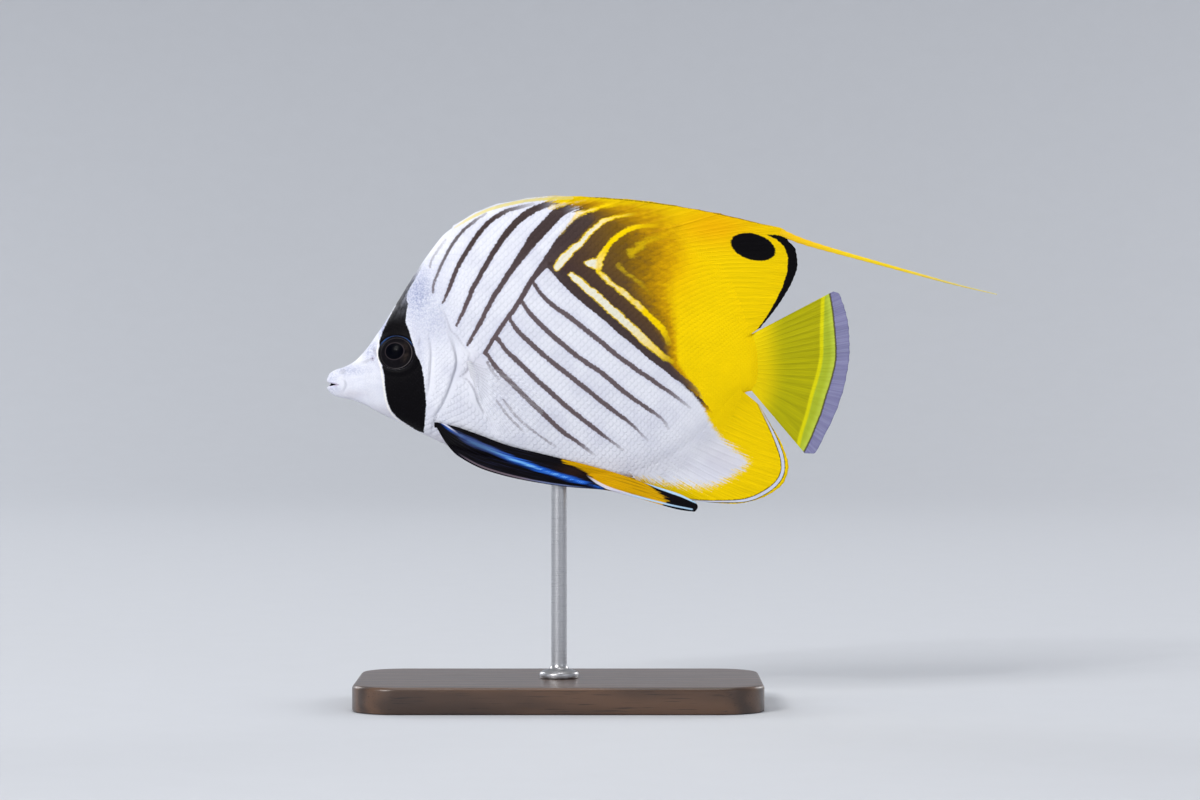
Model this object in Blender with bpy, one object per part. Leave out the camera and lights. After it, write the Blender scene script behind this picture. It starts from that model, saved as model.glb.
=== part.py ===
"""A life-size display model of a threadfin butterflyfish, held over a flat base by one rod.

The fish is laid out in a frame of its own, in millimetres. x runs back from the snout tip, z is
the height above the mouth line, and y is the distance from the middle plane, with the left flank
at -y. to_world() turns that frame into metres, with the origin under the middle of the base.
"""

import math

import bmesh
import bpy
import numpy as np

MM = 0.001
GAP = 0.3

# Driving sizes
BODY_END = 131.6
STALK_START = 116.0
MOUTH_HEIGHT = 98.0
ROD_X = 71.0

# Body outline, from the snout tip to the root of the tail fin: x, z
BACK_POINTS = [
    (0.2, 1.9), (0.9, 3.2), (2.8, 4.4), (4.7, 5.0), (8.0, 6.6), (11.1, 9.5), (16.0, 16.2),
    (21.7, 25.2), (26.0, 32.2), (33.0, 42.3), (36.4, 46.2), (43.8, 50.5), (54.0, 52.8),
    (65.2, 53.2), (77.4, 52.0), (89.7, 49.2), (101.9, 44.0), (114.1, 35.8), (121.8, 27.6),
    (126.6, 20.4), (129.4, 15.7), (131.6, 14.8),
]
BELLY_POINTS = [
    (0.2, -1.6), (1.4, -3.0), (3.7, -4.0), (7.2, -4.7), (11.5, -6.3), (15.9, -8.7),
    (21.3, -11.3), (30.6, -15.8), (42.2, -21.0), (54.0, -24.4), (65.2, -26.8), (77.4, -28.6),
    (87.0, -29.2), (95.8, -28.0), (105.0, -23.9), (114.1, -17.4), (120.9, -10.1),
    (125.8, -4.2), (128.6, -2.3), (131.6, -2.0),
]
HALF_WIDTH_POINTS = [
    (0.2, 1.1), (0.9, 1.7), (2.8, 2.3), (5.0, 2.6), (8.0, 3.2), (12.0, 4.7), (16.0, 6.3),
    (20.0, 7.6), (25.0, 8.8), (31.0, 9.9), (38.0, 10.8), (47.0, 11.2), (58.0, 11.0),
    (72.0, 10.1), (86.0, 8.6), (100.0, 6.7), (112.0, 5.0), (122.0, 3.9), (131.6, 3.1),
]
# Half thickness of the flat that each fin sits on, along the back and the belly
BACK_EDGE_POINTS = [(0.2, 0.3), (28.0, 0.5), (44.0, 1.1), (120.0, 1.1), (131.6, 0.8)]
BELLY_EDGE_POINTS = [(0.2, 0.3), (20.0, 0.8), (50.0, 1.2), (120.0, 1.1), (131.6, 0.8)]
# How lean a section is: 1 is an ellipse, and more draws its edge in
LEAN_POINTS = [(0.2, 0.85), (10.0, 0.95), (34.0, 1.15), (60.0, 1.4), (110.0, 1.4), (131.6, 1.1)]
WIDEST_SHARE = 0.46

# Gill cover's rear edge, where the head meets the torso: z, x
GILL_EDGE_POINTS = [
    (-40.0, 29.0), (-18.0, 31.2), (-9.5, 33.4), (-5.2, 35.8), (1.2, 38.3), (6.7, 39.8),
    (10.4, 39.5), (18.1, 36.4), (26.6, 33.7), (34.9, 33.2), (46.0, 34.4), (70.0, 36.0),
]
GILL_SWELL = 0.8
GILL_SWELL_REACH = 7.0
GILL_SWELL_MIDDLE_Z = 2.0
GILL_SWELL_HALF_HEIGHT = 16.0

# Eye, nostrils and mouth
EYE_X, EYE_Z = 21.7, 9.4
EYE_RADII = (6.3, 3.1, 5.85)
EYE_PROUD = 1.4
EYE_OPENING = (5.5, 5.1)
EYE_RIM_RADIUS = 0.5
NOSTRILS = [(14.3, 7.7), (15.2, 9.7)]
NOSTRIL_RADIUS = 0.5
MOUTH_CORNER_X = 3.6
MOUTH_WEDGE = [(-1.0, 0.55), (-1.0, -0.45), (2.2, -0.35), (MOUTH_CORNER_X, -0.3), (2.4, 0.1)]
LIP_HALF_WIDTH = 2.05
LIP_RADII = (0.42, 0.75)
LIP_HEIGHT = 1.0

# Dorsal fin: 12 spines, then 24 soft rays, the sixth of which carries the thread
SPINE_COUNT = 12
SOFT_COUNT = 24
DORSAL_START, DORSAL_SPLIT, DORSAL_END = 37.2, 97.0, 129.4
SPLIT_GAP = 0.6
SPINE_TIPS = [
    (0, 38.6, 48.4), (1, 45.4, 52.4), (2, 52.6, 55.2), (4, 70.0, 57.6), (7, 92.0, 56.6),
    (11, 120.6, 52.2),
]
SOFT_TIPS = [
    (0, 120.95, 51.85), (2, 131.5, 49.4), (5, 140.4, 46.8), (6, 140.8, 44.5), (8, 143.4, 41.2),
    (11, 144.0, 36.5), (14, 142.6, 31.8), (17, 140.0, 27.0), (20, 136.7, 22.2), (23, 132.7, 17.4),
]
THREAD_PATH = [
    (141.2, 45.3), (144.7, 43.9), (151.7, 41.7), (165.2, 37.9), (179.6, 33.9), (194.0, 30.0),
    (205.0, 27.4),
]
THREAD_HALF_HEIGHTS = [(0.0, 1.05), (0.1, 0.85), (0.3, 0.6), (0.7, 0.35), (1.0, 0.12)]
THREAD_HALF_THICKNESS = [(0.0, 0.5), (0.4, 0.4), (0.75, 0.28), (1.0, 0.1)]

# Anal fin: 3 spines, then 20 soft rays
ANAL_COUNT = 23
ANAL_START, ANAL_END = 93.0, 127.4
ANAL_TIPS = [
    (0, 97.5, -31.9), (2, 106.0, -34.4), (3, 112.0, -35.7), (6, 124.5, -36.7), (8, 131.0, -35.6),
    (10, 136.4, -33.2), (12, 140.0, -29.9), (14, 141.3, -25.4), (17, 139.6, -19.2),
    (20, 135.6, -12.0), (22, 132.4, -6.6),
]

# Tail fin: 17 rays
TAIL_COUNT = 17
TAIL_TIPS = [
    (0, 154.9, 28.3), (0.5, 156.6, 27.9), (1, 157.3, 26.4), (3, 158.8, 22.0), (5, 159.7, 17.1),
    (8, 160.0, 9.8), (11, 158.8, 1.2), (13, 156.3, -7.2), (15, 151.2, -18.0),
    (15.5, 149.0, -21.4), (16, 146.2, -21.2),
]

# Pectoral fins: 15 rays on a slanting root behind the gill cover
PECTORAL_COUNT = 15
PECTORAL_ROOT = [(45.2, 6.6), (47.0, -4.6)]
PECTORAL_LENGTHS = [(0, 16.0), (3, 25.5), (6, 24.0), (10, 17.5), (14, 11.0)]
PECTORAL_SLOPE_DEG = (16.0, 74.0)
PECTORAL_SPLAY_DEG = (19.0, 13.0)
PECTORAL_CUP = 0.9

# Pelvic fins: one spine and five rays each, folded back along the belly: x, z
PELVIC_TOP = [
    (33.9, -11.6), (39.5, -12.8), (45.9, -15.0), (55.6, -18.6), (67.0, -21.5), (80.2, -24.8),
    (91.8, -28.1), (103.4, -32.1), (113.4, -36.2),
]
PELVIC_BOTTOM = [
    (33.9, -13.2), (37.0, -18.6), (40.2, -21.9), (49.3, -26.5), (63.0, -29.8), (74.4, -31.4),
    (84.8, -32.2), (92.4, -33.8), (103.4, -36.8), (113.4, -38.4),
]
PELVIC_SPINE_SHARE = [(34.0, 0.2), (48.0, 0.33), (63.0, 0.48), (76.0, 0.72), (85.0, 0.93)]
PELVIC_ROWS = 20
PELVIC_COLUMNS = 11
PELVIC_KEEL = 1.5
PELVIC_TIP_ROUND = 0.7
PELVIC_LEAST_Y = [(34.0, 3.5), (84.0, 3.5), (113.4, 2.7)]

# Fin thickness, halved: root, membrane and margin, and how far a ray stands proud
MEMBRANE_HALF = 0.27
MARGIN_HALF = 0.17
RAY_RIDGE = 0.2
SPINE_RIDGE = 0.3

# Stand
BASE_SIZE = (124.0, 72.0, 8.0)
BASE_CORNER = 14.0
BASE_CHAMFER = 1.2
ROD_RADIUS = 2.4
ROD_FOOT = [(6.0, 0.0), (6.0, 1.6), (5.2, 2.4), (3.2, 2.9)]
ROD_SIDES = 20

COLOURS = {
    "skin_white": ((0.80, 0.81, 0.86), 0.42, 0.0),
    "skin_yellow": ((0.93, 0.66, 0.02), 0.42, 0.0),
    "fin_yellow": ((0.90, 0.68, 0.02), 0.40, 0.0),
    "fin_clear": ((0.86, 0.88, 0.92), 0.30, 0.0),
    "fin_black": ((0.02, 0.02, 0.03), 0.35, 0.0),
    "eye": ((0.015, 0.013, 0.015), 0.08, 0.0),
    "base_wood": ((0.10, 0.055, 0.03), 0.45, 0.0),
    "rod_steel": ((0.55, 0.55, 0.56), 0.30, 1.0),
}


class Profile:
    """A smooth value through a few hand-chosen points, with no overshoot between them."""

    def __init__(self, points):
        self.at, self.value = np.array(points, float).T
        slope = np.diff(self.value) / np.diff(self.at)
        rising = slope[:-1] * slope[1:] > 0
        total = np.where(rising, slope[:-1] + slope[1:], 1.0)
        inner = np.where(rising, 2 * slope[:-1] * slope[1:] / total, 0.0)
        self.tangent = np.concatenate([slope[:1], inner, slope[-1:]])

    def __call__(self, at):
        at = np.clip(np.asarray(at, float), self.at[0], self.at[-1])
        i = np.clip(np.searchsorted(self.at, at) - 1, 0, len(self.at) - 2)
        span = self.at[i + 1] - self.at[i]
        u = (at - self.at[i]) / span
        return (
            self.value[i] * (1 + 2 * u) * (1 - u) ** 2
            + self.value[i + 1] * u * u * (3 - 2 * u)
            + span * self.tangent[i] * u * (1 - u) ** 2
            - span * self.tangent[i + 1] * u * u * (1 - u)
        )


BACK = Profile(BACK_POINTS)
BELLY = Profile(BELLY_POINTS)
HALF_WIDTH = Profile(HALF_WIDTH_POINTS)
BACK_EDGE = Profile(BACK_EDGE_POINTS)
BELLY_EDGE = Profile(BELLY_EDGE_POINTS)
LEAN = Profile(LEAN_POINTS)
GILL_EDGE = Profile(GILL_EDGE_POINTS)


def to_world(points):
    """Points of the fish's frame, in millimetres, as metres over the stand."""
    return (np.asarray(points, float) + (-ROD_X, 0.0, MOUTH_HEIGHT)) * MM


def flank(x, z, head=False):
    """Distance from the middle plane to the skin at x, z. The head's gill cover swells out."""
    bottom, top = BELLY(x), BACK(x)
    share = np.clip((z - bottom) / (top - bottom), 0.0, 1.0)
    angle = np.arccos(1 - 2 * share) / math.pi
    skew = math.log(0.5) / math.log(WIDEST_SHARE)
    bulge = np.sin(math.pi * angle**skew) ** LEAN(x)
    edge = BELLY_EDGE(x) * (1 - share) + BACK_EDGE(x) * share
    swell = gill_swell(x, z) * bulge if head else 0.0
    return edge + (HALF_WIDTH(x) - edge) * bulge + swell


def gill_swell(x, z):
    """How far the gill cover stands out, most at its rear edge."""
    ahead = np.clip(GILL_EDGE(z) - x, 0.0, None) / GILL_SWELL_REACH
    level = (z - GILL_SWELL_MIDDLE_Z) / GILL_SWELL_HALF_HEIGHT
    return GILL_SWELL * np.exp(-(ahead**2) - level**4)


def flank_point(x, z, side, head=False):
    """A point on the skin of one side, and the outward normal there."""
    step = 0.05
    out = flank(x, z, head)
    along = (flank(x + step, z, head) - flank(x - step, z, head)) / (2 * step)
    up = (flank(x, z + step, head) - flank(x, z - step, head)) / (2 * step)
    normal = np.array([-along, 1.0, -up])
    normal /= np.linalg.norm(normal)
    return np.array([x, side * out, z]), normal * (1, side, 1)


def make_material(name):
    """A plain material of one of the object's colours."""
    material = bpy.data.materials.get(name) or bpy.data.materials.new(name)
    material.use_nodes = True
    colour, roughness, metallic = COLOURS[name]
    shader = material.node_tree.nodes["Principled BSDF"]
    shader.inputs["Base Color"].default_value = (*colour, 1.0)
    shader.inputs["Roughness"].default_value = roughness
    shader.inputs["Metallic"].default_value = metallic
    return material


def make_object(name, points, faces, material):
    """An object from points of the fish's frame and faces, with its normals facing out."""
    mesh = bpy.data.meshes.new(name)
    mesh.from_pydata([tuple(p) for p in to_world(points)], [], [tuple(map(int, f)) for f in faces])
    body = bmesh.new()
    body.from_mesh(mesh)
    bmesh.ops.recalc_face_normals(body, faces=body.faces)
    if body.calc_volume(signed=True) < 0:
        bmesh.ops.reverse_faces(body, faces=body.faces)
    body.to_mesh(mesh)
    body.free()
    mesh.shade_smooth()
    mesh.set_sharp_from_angle(angle=math.radians(40))
    mesh.materials.append(make_material(material))
    obj = bpy.data.objects.new(name, mesh)
    bpy.context.scene.collection.objects.link(obj)
    return obj


def ring_faces(rings, around):
    """Triangles joining closed rings of points in order, with a flat cap on both ends."""
    faces = []
    for i in range(rings - 1):
        for j in range(around):
            a, b = i * around + j, i * around + (j + 1) % around
            c, d = a + around, b + around
            faces += [(a, b, d), (a, d, c)]
    faces.append(range(around))
    faces.append(range((rings - 1) * around, rings * around))
    return faces


def loft_body(name, stations, steps, material, head=False):
    """The body between its first and last station, as a closed solid."""
    angles = np.linspace(0, math.pi, steps)
    rings = []
    for x in stations:
        bottom, top = BELLY(x), BACK(x)
        z = bottom + (top - bottom) * (1 - np.cos(angles)) / 2
        y = flank(x, z, head)
        left = np.stack([np.full(steps, x), -y, z], axis=1)
        rings += [left, (left * (1, -1, 1))[::-1]]
    return make_object(name, np.concatenate(rings), ring_faces(len(stations), 2 * steps), material)


def tube(name, path, heights, widths, sides, material):
    """A closed tube along a path, with an elliptical section of its own at each point."""
    path = np.asarray(path, float)
    forward = np.gradient(path, axis=0)
    forward /= np.linalg.norm(forward, axis=1)[:, None]
    rings = []
    for point, way, height, width in zip(path, forward, heights, widths):
        across = np.array([-way[1], way[0], 0.0])
        across /= np.linalg.norm(across)
        up = np.cross(way, across)
        turn = 2 * math.pi * np.arange(sides) / sides
        ring = np.outer(np.sin(turn) * height, up) + np.outer(np.cos(turn) * width, across)
        rings.append(point + ring)
    return make_object(name, np.concatenate(rings), ring_faces(len(path), sides), material)


def prism(name, outline, half_depth):
    """A cutter: an outline in x and z, extruded across the body."""
    outline = np.asarray(outline, float)
    near = np.stack([outline[:, 0], np.full(len(outline), -half_depth), outline[:, 1]], axis=1)
    count = len(outline)
    faces = [range(count), range(count, 2 * count)]
    for i in range(count):
        j = (i + 1) % count
        faces.append((i, j, j + count, i + count))
    return make_object(name, np.concatenate([near, near * (1, -1, 1)]), faces, "skin_white")


def ellipsoid(name, centre, axes, radii, segments, rings, material="eye"):
    """An ellipsoid whose three axes are the rows of axes; its poles lie on the second one."""
    points = [centre - radii[1] * axes[1]]
    for i in range(1, rings):
        tilt = math.pi * i / rings
        for j in range(segments):
            turn = 2 * math.pi * j / segments
            flat = math.sin(tilt) * np.array([math.cos(turn) * radii[0], math.sin(turn) * radii[2]])
            points.append(
                centre + flat[0] * axes[0] - math.cos(tilt) * radii[1] * axes[1] + flat[1] * axes[2]
            )
    points.append(centre + radii[1] * axes[1])
    faces = []
    last = len(points) - 1
    for j in range(segments):
        k = (j + 1) % segments
        faces.append((0, 1 + k, 1 + j))
        faces.append((last, last - segments + j, last - segments + k))
        for i in range(rings - 2):
            a, b = 1 + i * segments + j, 1 + i * segments + k
            faces += [(a, b, b + segments), (a, b + segments, a + segments)]
    return make_object(name, points, faces, material)


def combine(target, others, operation):
    """Joins closed pieces to the target, or cuts them from it, and removes them."""
    group = bpy.data.collections.new(target.name + "_pieces")
    bpy.context.scene.collection.children.link(group)
    for piece in others:
        group.objects.link(piece)
    modifier = target.modifiers.new("combine", "BOOLEAN")
    modifier.operation = operation
    modifier.operand_type = "COLLECTION"
    modifier.collection = group
    modifier.solver = "EXACT"
    graph = bpy.context.evaluated_depsgraph_get()
    joined = bpy.data.meshes.new_from_object(target.evaluated_get(graph))
    target.modifiers.remove(modifier)
    target.data = joined
    for piece in others:
        bpy.data.objects.remove(piece)
    bpy.data.collections.remove(group)
    keep_largest(target)


def keep_largest(obj):
    """Leaves only the largest closed surface of an object."""
    body = bmesh.new()
    body.from_mesh(obj.data)
    unseen, islands = set(body.faces), []
    while unseen:
        stack, island = [unseen.pop()], []
        while stack:
            face = stack.pop()
            island.append(face)
            near = {f for edge in face.edges for f in edge.link_faces} & unseen
            unseen -= near
            stack += near
        islands.append(island)
    islands.sort(key=lambda faces: sum(face.calc_area() for face in faces))
    loose = [face for island in islands[:-1] for face in island]
    bmesh.ops.delete(body, geom=loose, context="FACES")
    body.to_mesh(obj.data)
    body.free()


def make_lips():
    """The upper and the lower lip, each a bead from one corner of the mouth to the other."""
    lips = []
    for name, up in (("upper_lip", 1), ("lower_lip", -1)):
        turn = np.linspace(-0.5, 0.5, 11) * math.pi
        path = np.stack(
            [
                MOUTH_CORNER_X - (MOUTH_CORNER_X - 0.9) * np.cos(turn),
                LIP_HALF_WIDTH * np.sin(turn),
                -0.1 + up * LIP_HEIGHT * np.cos(turn) ** 0.7,
            ],
            axis=1,
        )
        radius = LIP_RADII[0] + (LIP_RADII[1] - LIP_RADII[0]) * np.cos(turn)
        lips.append(tube(name, path, radius, radius, 8, "skin_white"))
    return lips


def eye_place(side):
    """Centre and axes of one eyeball, which looks out along the skin's normal."""
    point, normal = flank_point(EYE_X, EYE_Z, side, head=True)
    back = np.array([1.0, 0.0, 0.0]) - normal[0] * normal
    back /= np.linalg.norm(back)
    axes = np.stack([back, normal, np.cross(back, normal)])
    return point - (EYE_RADII[1] - EYE_PROUD) * normal, axes


def make_eye_rim(name, side):
    """The low ring of skin round one eye."""
    count = 22
    turn = 2 * math.pi * np.arange(count) / count
    rings = []
    for angle in turn:
        x = EYE_X + EYE_OPENING[0] * math.cos(angle)
        z = EYE_Z + EYE_OPENING[1] * math.sin(angle)
        point, normal = flank_point(x, z, side, head=True)
        away = np.array([math.cos(angle), 0.0, math.sin(angle)])
        away -= away.dot(normal) * normal
        away /= np.linalg.norm(away)
        around = 2 * math.pi * np.arange(6) / 6
        rings.append(
            point
            + EYE_RIM_RADIUS * (np.outer(np.cos(around), away) + np.outer(np.sin(around), normal))
        )
    faces = []
    for i in range(count):
        for j in range(6):
            a, b = i * 6 + j, i * 6 + (j + 1) % 6
            c, d = (a + 6) % (count * 6), (i + 1) % count * 6 + (j + 1) % 6
            faces += [(a, b, d), (a, d, c)]
    return make_object(name, np.concatenate(rings), faces, "skin_white")


def gill_cutter(name, front):
    """A prism over all that lies in front of the gill edge, or behind it."""
    z = np.linspace(-38.0, 68.0, 54)
    edge = np.stack([GILL_EDGE(z) + (GAP if front else 0.0), z], axis=1)
    far = -20.0 if front else 180.0
    outline = [(far, z[0]), *edge, (far, z[-1])]
    return prism(name, outline, 30.0)


def make_head():
    """The head: lips, mouth, nostrils, eye rims and the gill covers in relief."""
    spread = Profile([(0, 0.2), (6, 4.0), (14, 14.0), (34, 46.0)])
    head = loft_body("head", spread(np.arange(35)), 17, "skin_white", head=True)
    rims = [make_eye_rim(f"rim_{side}", side) for side in (-1, 1)]
    combine(head, [*make_lips(), *rims], "UNION")
    cutters = [gill_cutter("gill_cut", front=False), prism("mouth_cut", MOUTH_WEDGE, 6.0)]
    for side in (-1, 1):
        centre, axes = eye_place(side)
        radii = [r + GAP for r in EYE_RADII]
        cutters.append(ellipsoid(f"socket_{side}", centre, axes, radii, 20, 10))
        for i, (x, z) in enumerate(NOSTRILS):
            point, normal = flank_point(x, z, side, head=True)
            round_radii = [NOSTRIL_RADIUS] * 3
            pit = ellipsoid(f"pit_{side}_{i}", point, np.eye(3), round_radii, 8, 4)
            cutters.append(pit)
    combine(head, cutters, "DIFFERENCE")


def make_eyes():
    """Both eyeballs, each in its socket."""
    for name, side in (("eye_left", -1), ("eye_right", 1)):
        centre, axes = eye_place(side)
        ellipsoid(name, centre, axes, EYE_RADII, 20, 10)


def make_trunk():
    """The torso behind the gill edge, and the tail stalk."""
    torso = loft_body("torso", np.linspace(26.0, STALK_START, 32), 15, "skin_white")
    combine(torso, [gill_cutter("head_cut", front=True)], "DIFFERENCE")
    spread = Profile([(0, STALK_START + GAP), (5, 125.0), (9, BODY_END)])
    loft_body("tail_stalk", spread(np.arange(10)), 15, "skin_yellow")


def sheet(name, centre, half, material):
    """A closed thin solid round a grid of points, split into triangles alike on both faces."""
    rows, columns = centre.shape[:2]
    along = np.gradient(centre, axis=0)
    across = np.gradient(centre, axis=1)
    normal = np.cross(along, across)
    normal /= np.linalg.norm(normal, axis=2)[..., None]
    points = np.concatenate(
        [
            (centre + normal * half[..., None]).reshape(-1, 3),
            (centre - normal * half[..., None]).reshape(-1, 3),
        ]
    )
    back = rows * columns
    faces = []
    for i in range(rows - 1):
        for j in range(columns - 1):
            a, b = i * columns + j, i * columns + j + 1
            c, d = a + columns, b + columns
            for corners in ((a, b, d), (a, d, c)):
                faces += [corners, [k + back for k in reversed(corners)]]
    border = list(range(columns))
    border += [i * columns + columns - 1 for i in range(1, rows)]
    border += [(rows - 1) * columns + j for j in range(columns - 2, -1, -1)]
    border += [i * columns for i in range(rows - 2, 0, -1)]
    for k, a in enumerate(border):
        b = border[(k + 1) % len(border)]
        faces += [(a, a + back, b + back), (a, b + back, b)]
    return make_object(name, points, faces, material)


def ray_indices(count):
    """Ray numbers across a fin, with one column on each ray and one on each web between."""
    return np.linspace(0.0, count - 1, 2 * count - 1)


def fin_half(shares, columns, root_half, ridge, decay):
    """Half thickness over a fin: thick at its root, thin at its margin, proud on each ray."""
    root_half = np.broadcast_to(root_half, (columns,))
    rays = (np.arange(columns) % 2 == 0) * ridge
    web = MEMBRANE_HALF + (MARGIN_HALF - MEMBRANE_HALF) * shares**4
    flare = np.outer((1 - shares) ** decay, root_half - MEMBRANE_HALF)
    return web[:, None] + flare + np.outer(1 - shares**3, rays)


def spread_fin(base, tips, shares, bow):
    """The middle surface of a fin between its root points and its ray tips, with bowed rays."""
    share = shares[:, None, None]
    flat = base[None] * (1 - share) + tips[None] * share
    return flat + 4 * share * (1 - share) * np.asarray(bow, float)


def outline_root(profile, x, outward):
    """Root points of a median fin, a gap away from the body's edge."""
    step = 0.1
    rise = (profile(x + step) - profile(x - step)) / (2 * step)
    length = np.hypot(rise, 1.0)
    away = outward * GAP
    return np.stack([x - rise / length * away, np.zeros(len(x)), profile(x) + away / length], axis=1)


def tip_points(knots, index):
    """Ray tips in the middle plane, read off a few numbered ones."""
    knots = np.array(knots, float)
    x = Profile(knots[:, [0, 1]])(index)
    z = Profile(knots[:, [0, 2]])(index)
    return np.stack([x, np.zeros(len(index)), z], axis=1)


def notch(base, tips, depth):
    """Draws the web back between the ray tips."""
    length = np.linalg.norm(tips - base, axis=1)
    web = (np.arange(len(tips)) % 2 == 1) * np.minimum(depth / length, 0.3)
    return tips + (base - tips) * web[:, None]


def make_dorsal_fin():
    """The spiny and the soft part of the dorsal fin, and the thread that trails from it."""
    index = ray_indices(SPINE_COUNT)
    x = np.linspace(DORSAL_START, DORSAL_SPLIT - SPLIT_GAP, len(index))
    base = outline_root(BACK, x, 1)
    tips = notch(base, tip_points(SPINE_TIPS, index), 0.8)
    shares = np.linspace(0, 1, 6)
    half = fin_half(shares, len(index), BACK_EDGE(x), SPINE_RIDGE, 2.0)
    sheet("dorsal_fin_spiny", spread_fin(base, tips, shares, (0, 0, 0)), half, "fin_yellow")

    index = ray_indices(SOFT_COUNT)
    x = np.linspace(DORSAL_SPLIT, DORSAL_END, len(index))
    base = outline_root(BACK, x, 1)
    tips = tip_points(SOFT_TIPS, index)
    shares = np.linspace(0, 1, 9)
    half = fin_half(shares, len(index), BACK_EDGE(x), RAY_RIDGE, 2.5)
    bow = np.outer(Profile([(0, 0.0), (6, 0.8), (12, 0.8), (23, 0.0)])(index), (0, 0, 1))
    sheet("dorsal_fin_soft", spread_fin(base, tips, shares, bow), half, "fin_yellow")

    knots = np.array(THREAD_PATH)
    shares = np.linspace(0, 1, 22)
    x = knots[0, 0] + (knots[-1, 0] - knots[0, 0]) * shares
    path = np.stack([x, np.zeros(len(x)), Profile(knots)(x)], axis=1)
    heights, widths = Profile(THREAD_HALF_HEIGHTS)(shares), Profile(THREAD_HALF_THICKNESS)(shares)
    tube("dorsal_thread", path, heights, widths, 6, "fin_yellow")


def make_anal_fin():
    """The anal fin under the rear of the body."""
    index = ray_indices(ANAL_COUNT)
    x = np.linspace(ANAL_START, ANAL_END, len(index))
    base = outline_root(BELLY, x, -1)
    tips = tip_points(ANAL_TIPS, index)
    shares = np.linspace(0, 1, 8)
    half = fin_half(shares, len(index), BELLY_EDGE(x), RAY_RIDGE, 2.5)
    bow = np.outer(Profile([(0, -0.4), (8, -1.2), (22, 0.0)])(index), (0, 0, 1))
    sheet("anal_fin", spread_fin(base, tips, shares, bow), half, "fin_yellow")


def make_tail_fin():
    """The tail fin, as thick at its root as the end of the stalk."""
    index = ray_indices(TAIL_COUNT)
    z = np.linspace(BACK(BODY_END) - GAP, BELLY(BODY_END) + GAP, len(index))
    base = np.stack([np.full(len(z), BODY_END + GAP), np.zeros(len(z)), z], axis=1)
    tips = tip_points(TAIL_TIPS, index)
    shares = np.linspace(0, 1, 9) ** 1.2
    half = fin_half(shares, len(index), flank(BODY_END, z), RAY_RIDGE, 5.0)
    sheet("tail_fin", spread_fin(base, tips, shares, (0, 0, 0)), half, "fin_yellow")


def make_pectoral_fins():
    """Both pectoral fins, fanned back and down and standing a little off the flanks."""
    index = ray_indices(PECTORAL_COUNT)
    share = index / index[-1]
    slope = np.radians(np.interp(share, (0, 1), PECTORAL_SLOPE_DEG))
    splay = np.radians(np.interp(share, (0, 1), PECTORAL_SPLAY_DEG))
    length = Profile(PECTORAL_LENGTHS)(index)
    x, z = np.outer(1 - share, PECTORAL_ROOT[0]).T + np.outer(share, PECTORAL_ROOT[1]).T
    shares = np.linspace(0, 1, 6)
    half = fin_half(shares, len(index), 0.8, RAY_RIDGE, 4.0)
    for name, side in (("pectoral_fin_left", -1), ("pectoral_fin_right", 1)):
        base = np.stack([x, side * (flank(x, z) + GAP + half[0].max()), z], axis=1)
        way = np.stack(
            [np.cos(slope) * np.cos(splay), side * np.sin(splay), -np.sin(slope) * np.cos(splay)],
            axis=1,
        )
        tips = base + way * length[:, None]
        bow = (0, side * PECTORAL_CUP, 0)
        sheet(name, spread_fin(base, tips, shares, bow), half, "fin_clear")


def make_pelvic_fins():
    """Both pelvic fins, long leaves with a strong spine, laid back outside the belly."""
    top, bottom = Profile(PELVIC_TOP), Profile(PELVIC_BOTTOM)
    spine, least = Profile(PELVIC_SPINE_SHARE), Profile(PELVIC_LEAST_Y)
    spread = Profile([(0, 33.9), (5, 42.0), (PELVIC_ROWS - 1, 113.4)])
    x = np.repeat(spread(np.arange(PELVIC_ROWS))[:, None], PELVIC_COLUMNS, axis=1)
    share = np.linspace(0, 1, PELVIC_COLUMNS)[None]
    z = top(x) * (1 - share) + bottom(x) * share
    room = np.clip((top(x) - bottom(x) - 5.0) / 5.0, 0.0, 1.0)
    x = x - PELVIC_TIP_ROUND * (2 * share - 1) ** 2 * ((x - 34.0) / 79.4) ** 8
    ridge = RAY_RIDGE * 0.6 * room
    grown = np.clip((x - 34.0) / 8.0, 0, 1) * (x < 92)
    keel = np.clip(1 - np.abs(share - spine(x)) / 0.45, 0, 1) * grown
    web = MEMBRANE_HALF + 0.35 * keel**3
    half = web + ridge * (np.arange(PELVIC_COLUMNS) % 2 == 0)
    half[-1] = MARGIN_HALF
    inside = np.maximum(flank(x, z) + GAP, least(x))
    out = inside + (web + ridge) * 1.25 + PELVIC_KEEL * keel
    for name, side in (("pelvic_fin_left", -1), ("pelvic_fin_right", 1)):
        sheet(name, np.stack([x, side * out, z], axis=2), half, "fin_black")


def make_base():
    """The flat base, with round corners and a chamfered top edge."""
    length, width, height = BASE_SIZE
    steps = 7
    rings = []
    for inset, z in ((0.0, 0.0), (0.0, height - BASE_CHAMFER), (BASE_CHAMFER, height)):
        ring = []
        for quarter in range(4):
            sign_x, sign_y = ((1, 1), (-1, 1), (-1, -1), (1, -1))[quarter]
            centre_x = sign_x * (length / 2 - BASE_CORNER)
            centre_y = sign_y * (width / 2 - BASE_CORNER)
            for k in range(steps):
                turn = math.pi / 2 * (quarter + k / (steps - 1))
                radius = BASE_CORNER - inset
                ring.append(
                    (
                        centre_x + radius * math.cos(turn) + ROD_X,
                        centre_y + radius * math.sin(turn),
                        z - MOUTH_HEIGHT,
                    )
                )
        rings += ring
    make_object("stand_base", rings, ring_faces(3, 4 * steps), "base_wood")


def belly_height(x, y):
    """Lowest height of the skin above a point under the belly."""
    z = np.linspace(BELLY(x), BELLY(x) + 12.0, 400)
    return float(np.interp(abs(y), flank(x, z), z))


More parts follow.
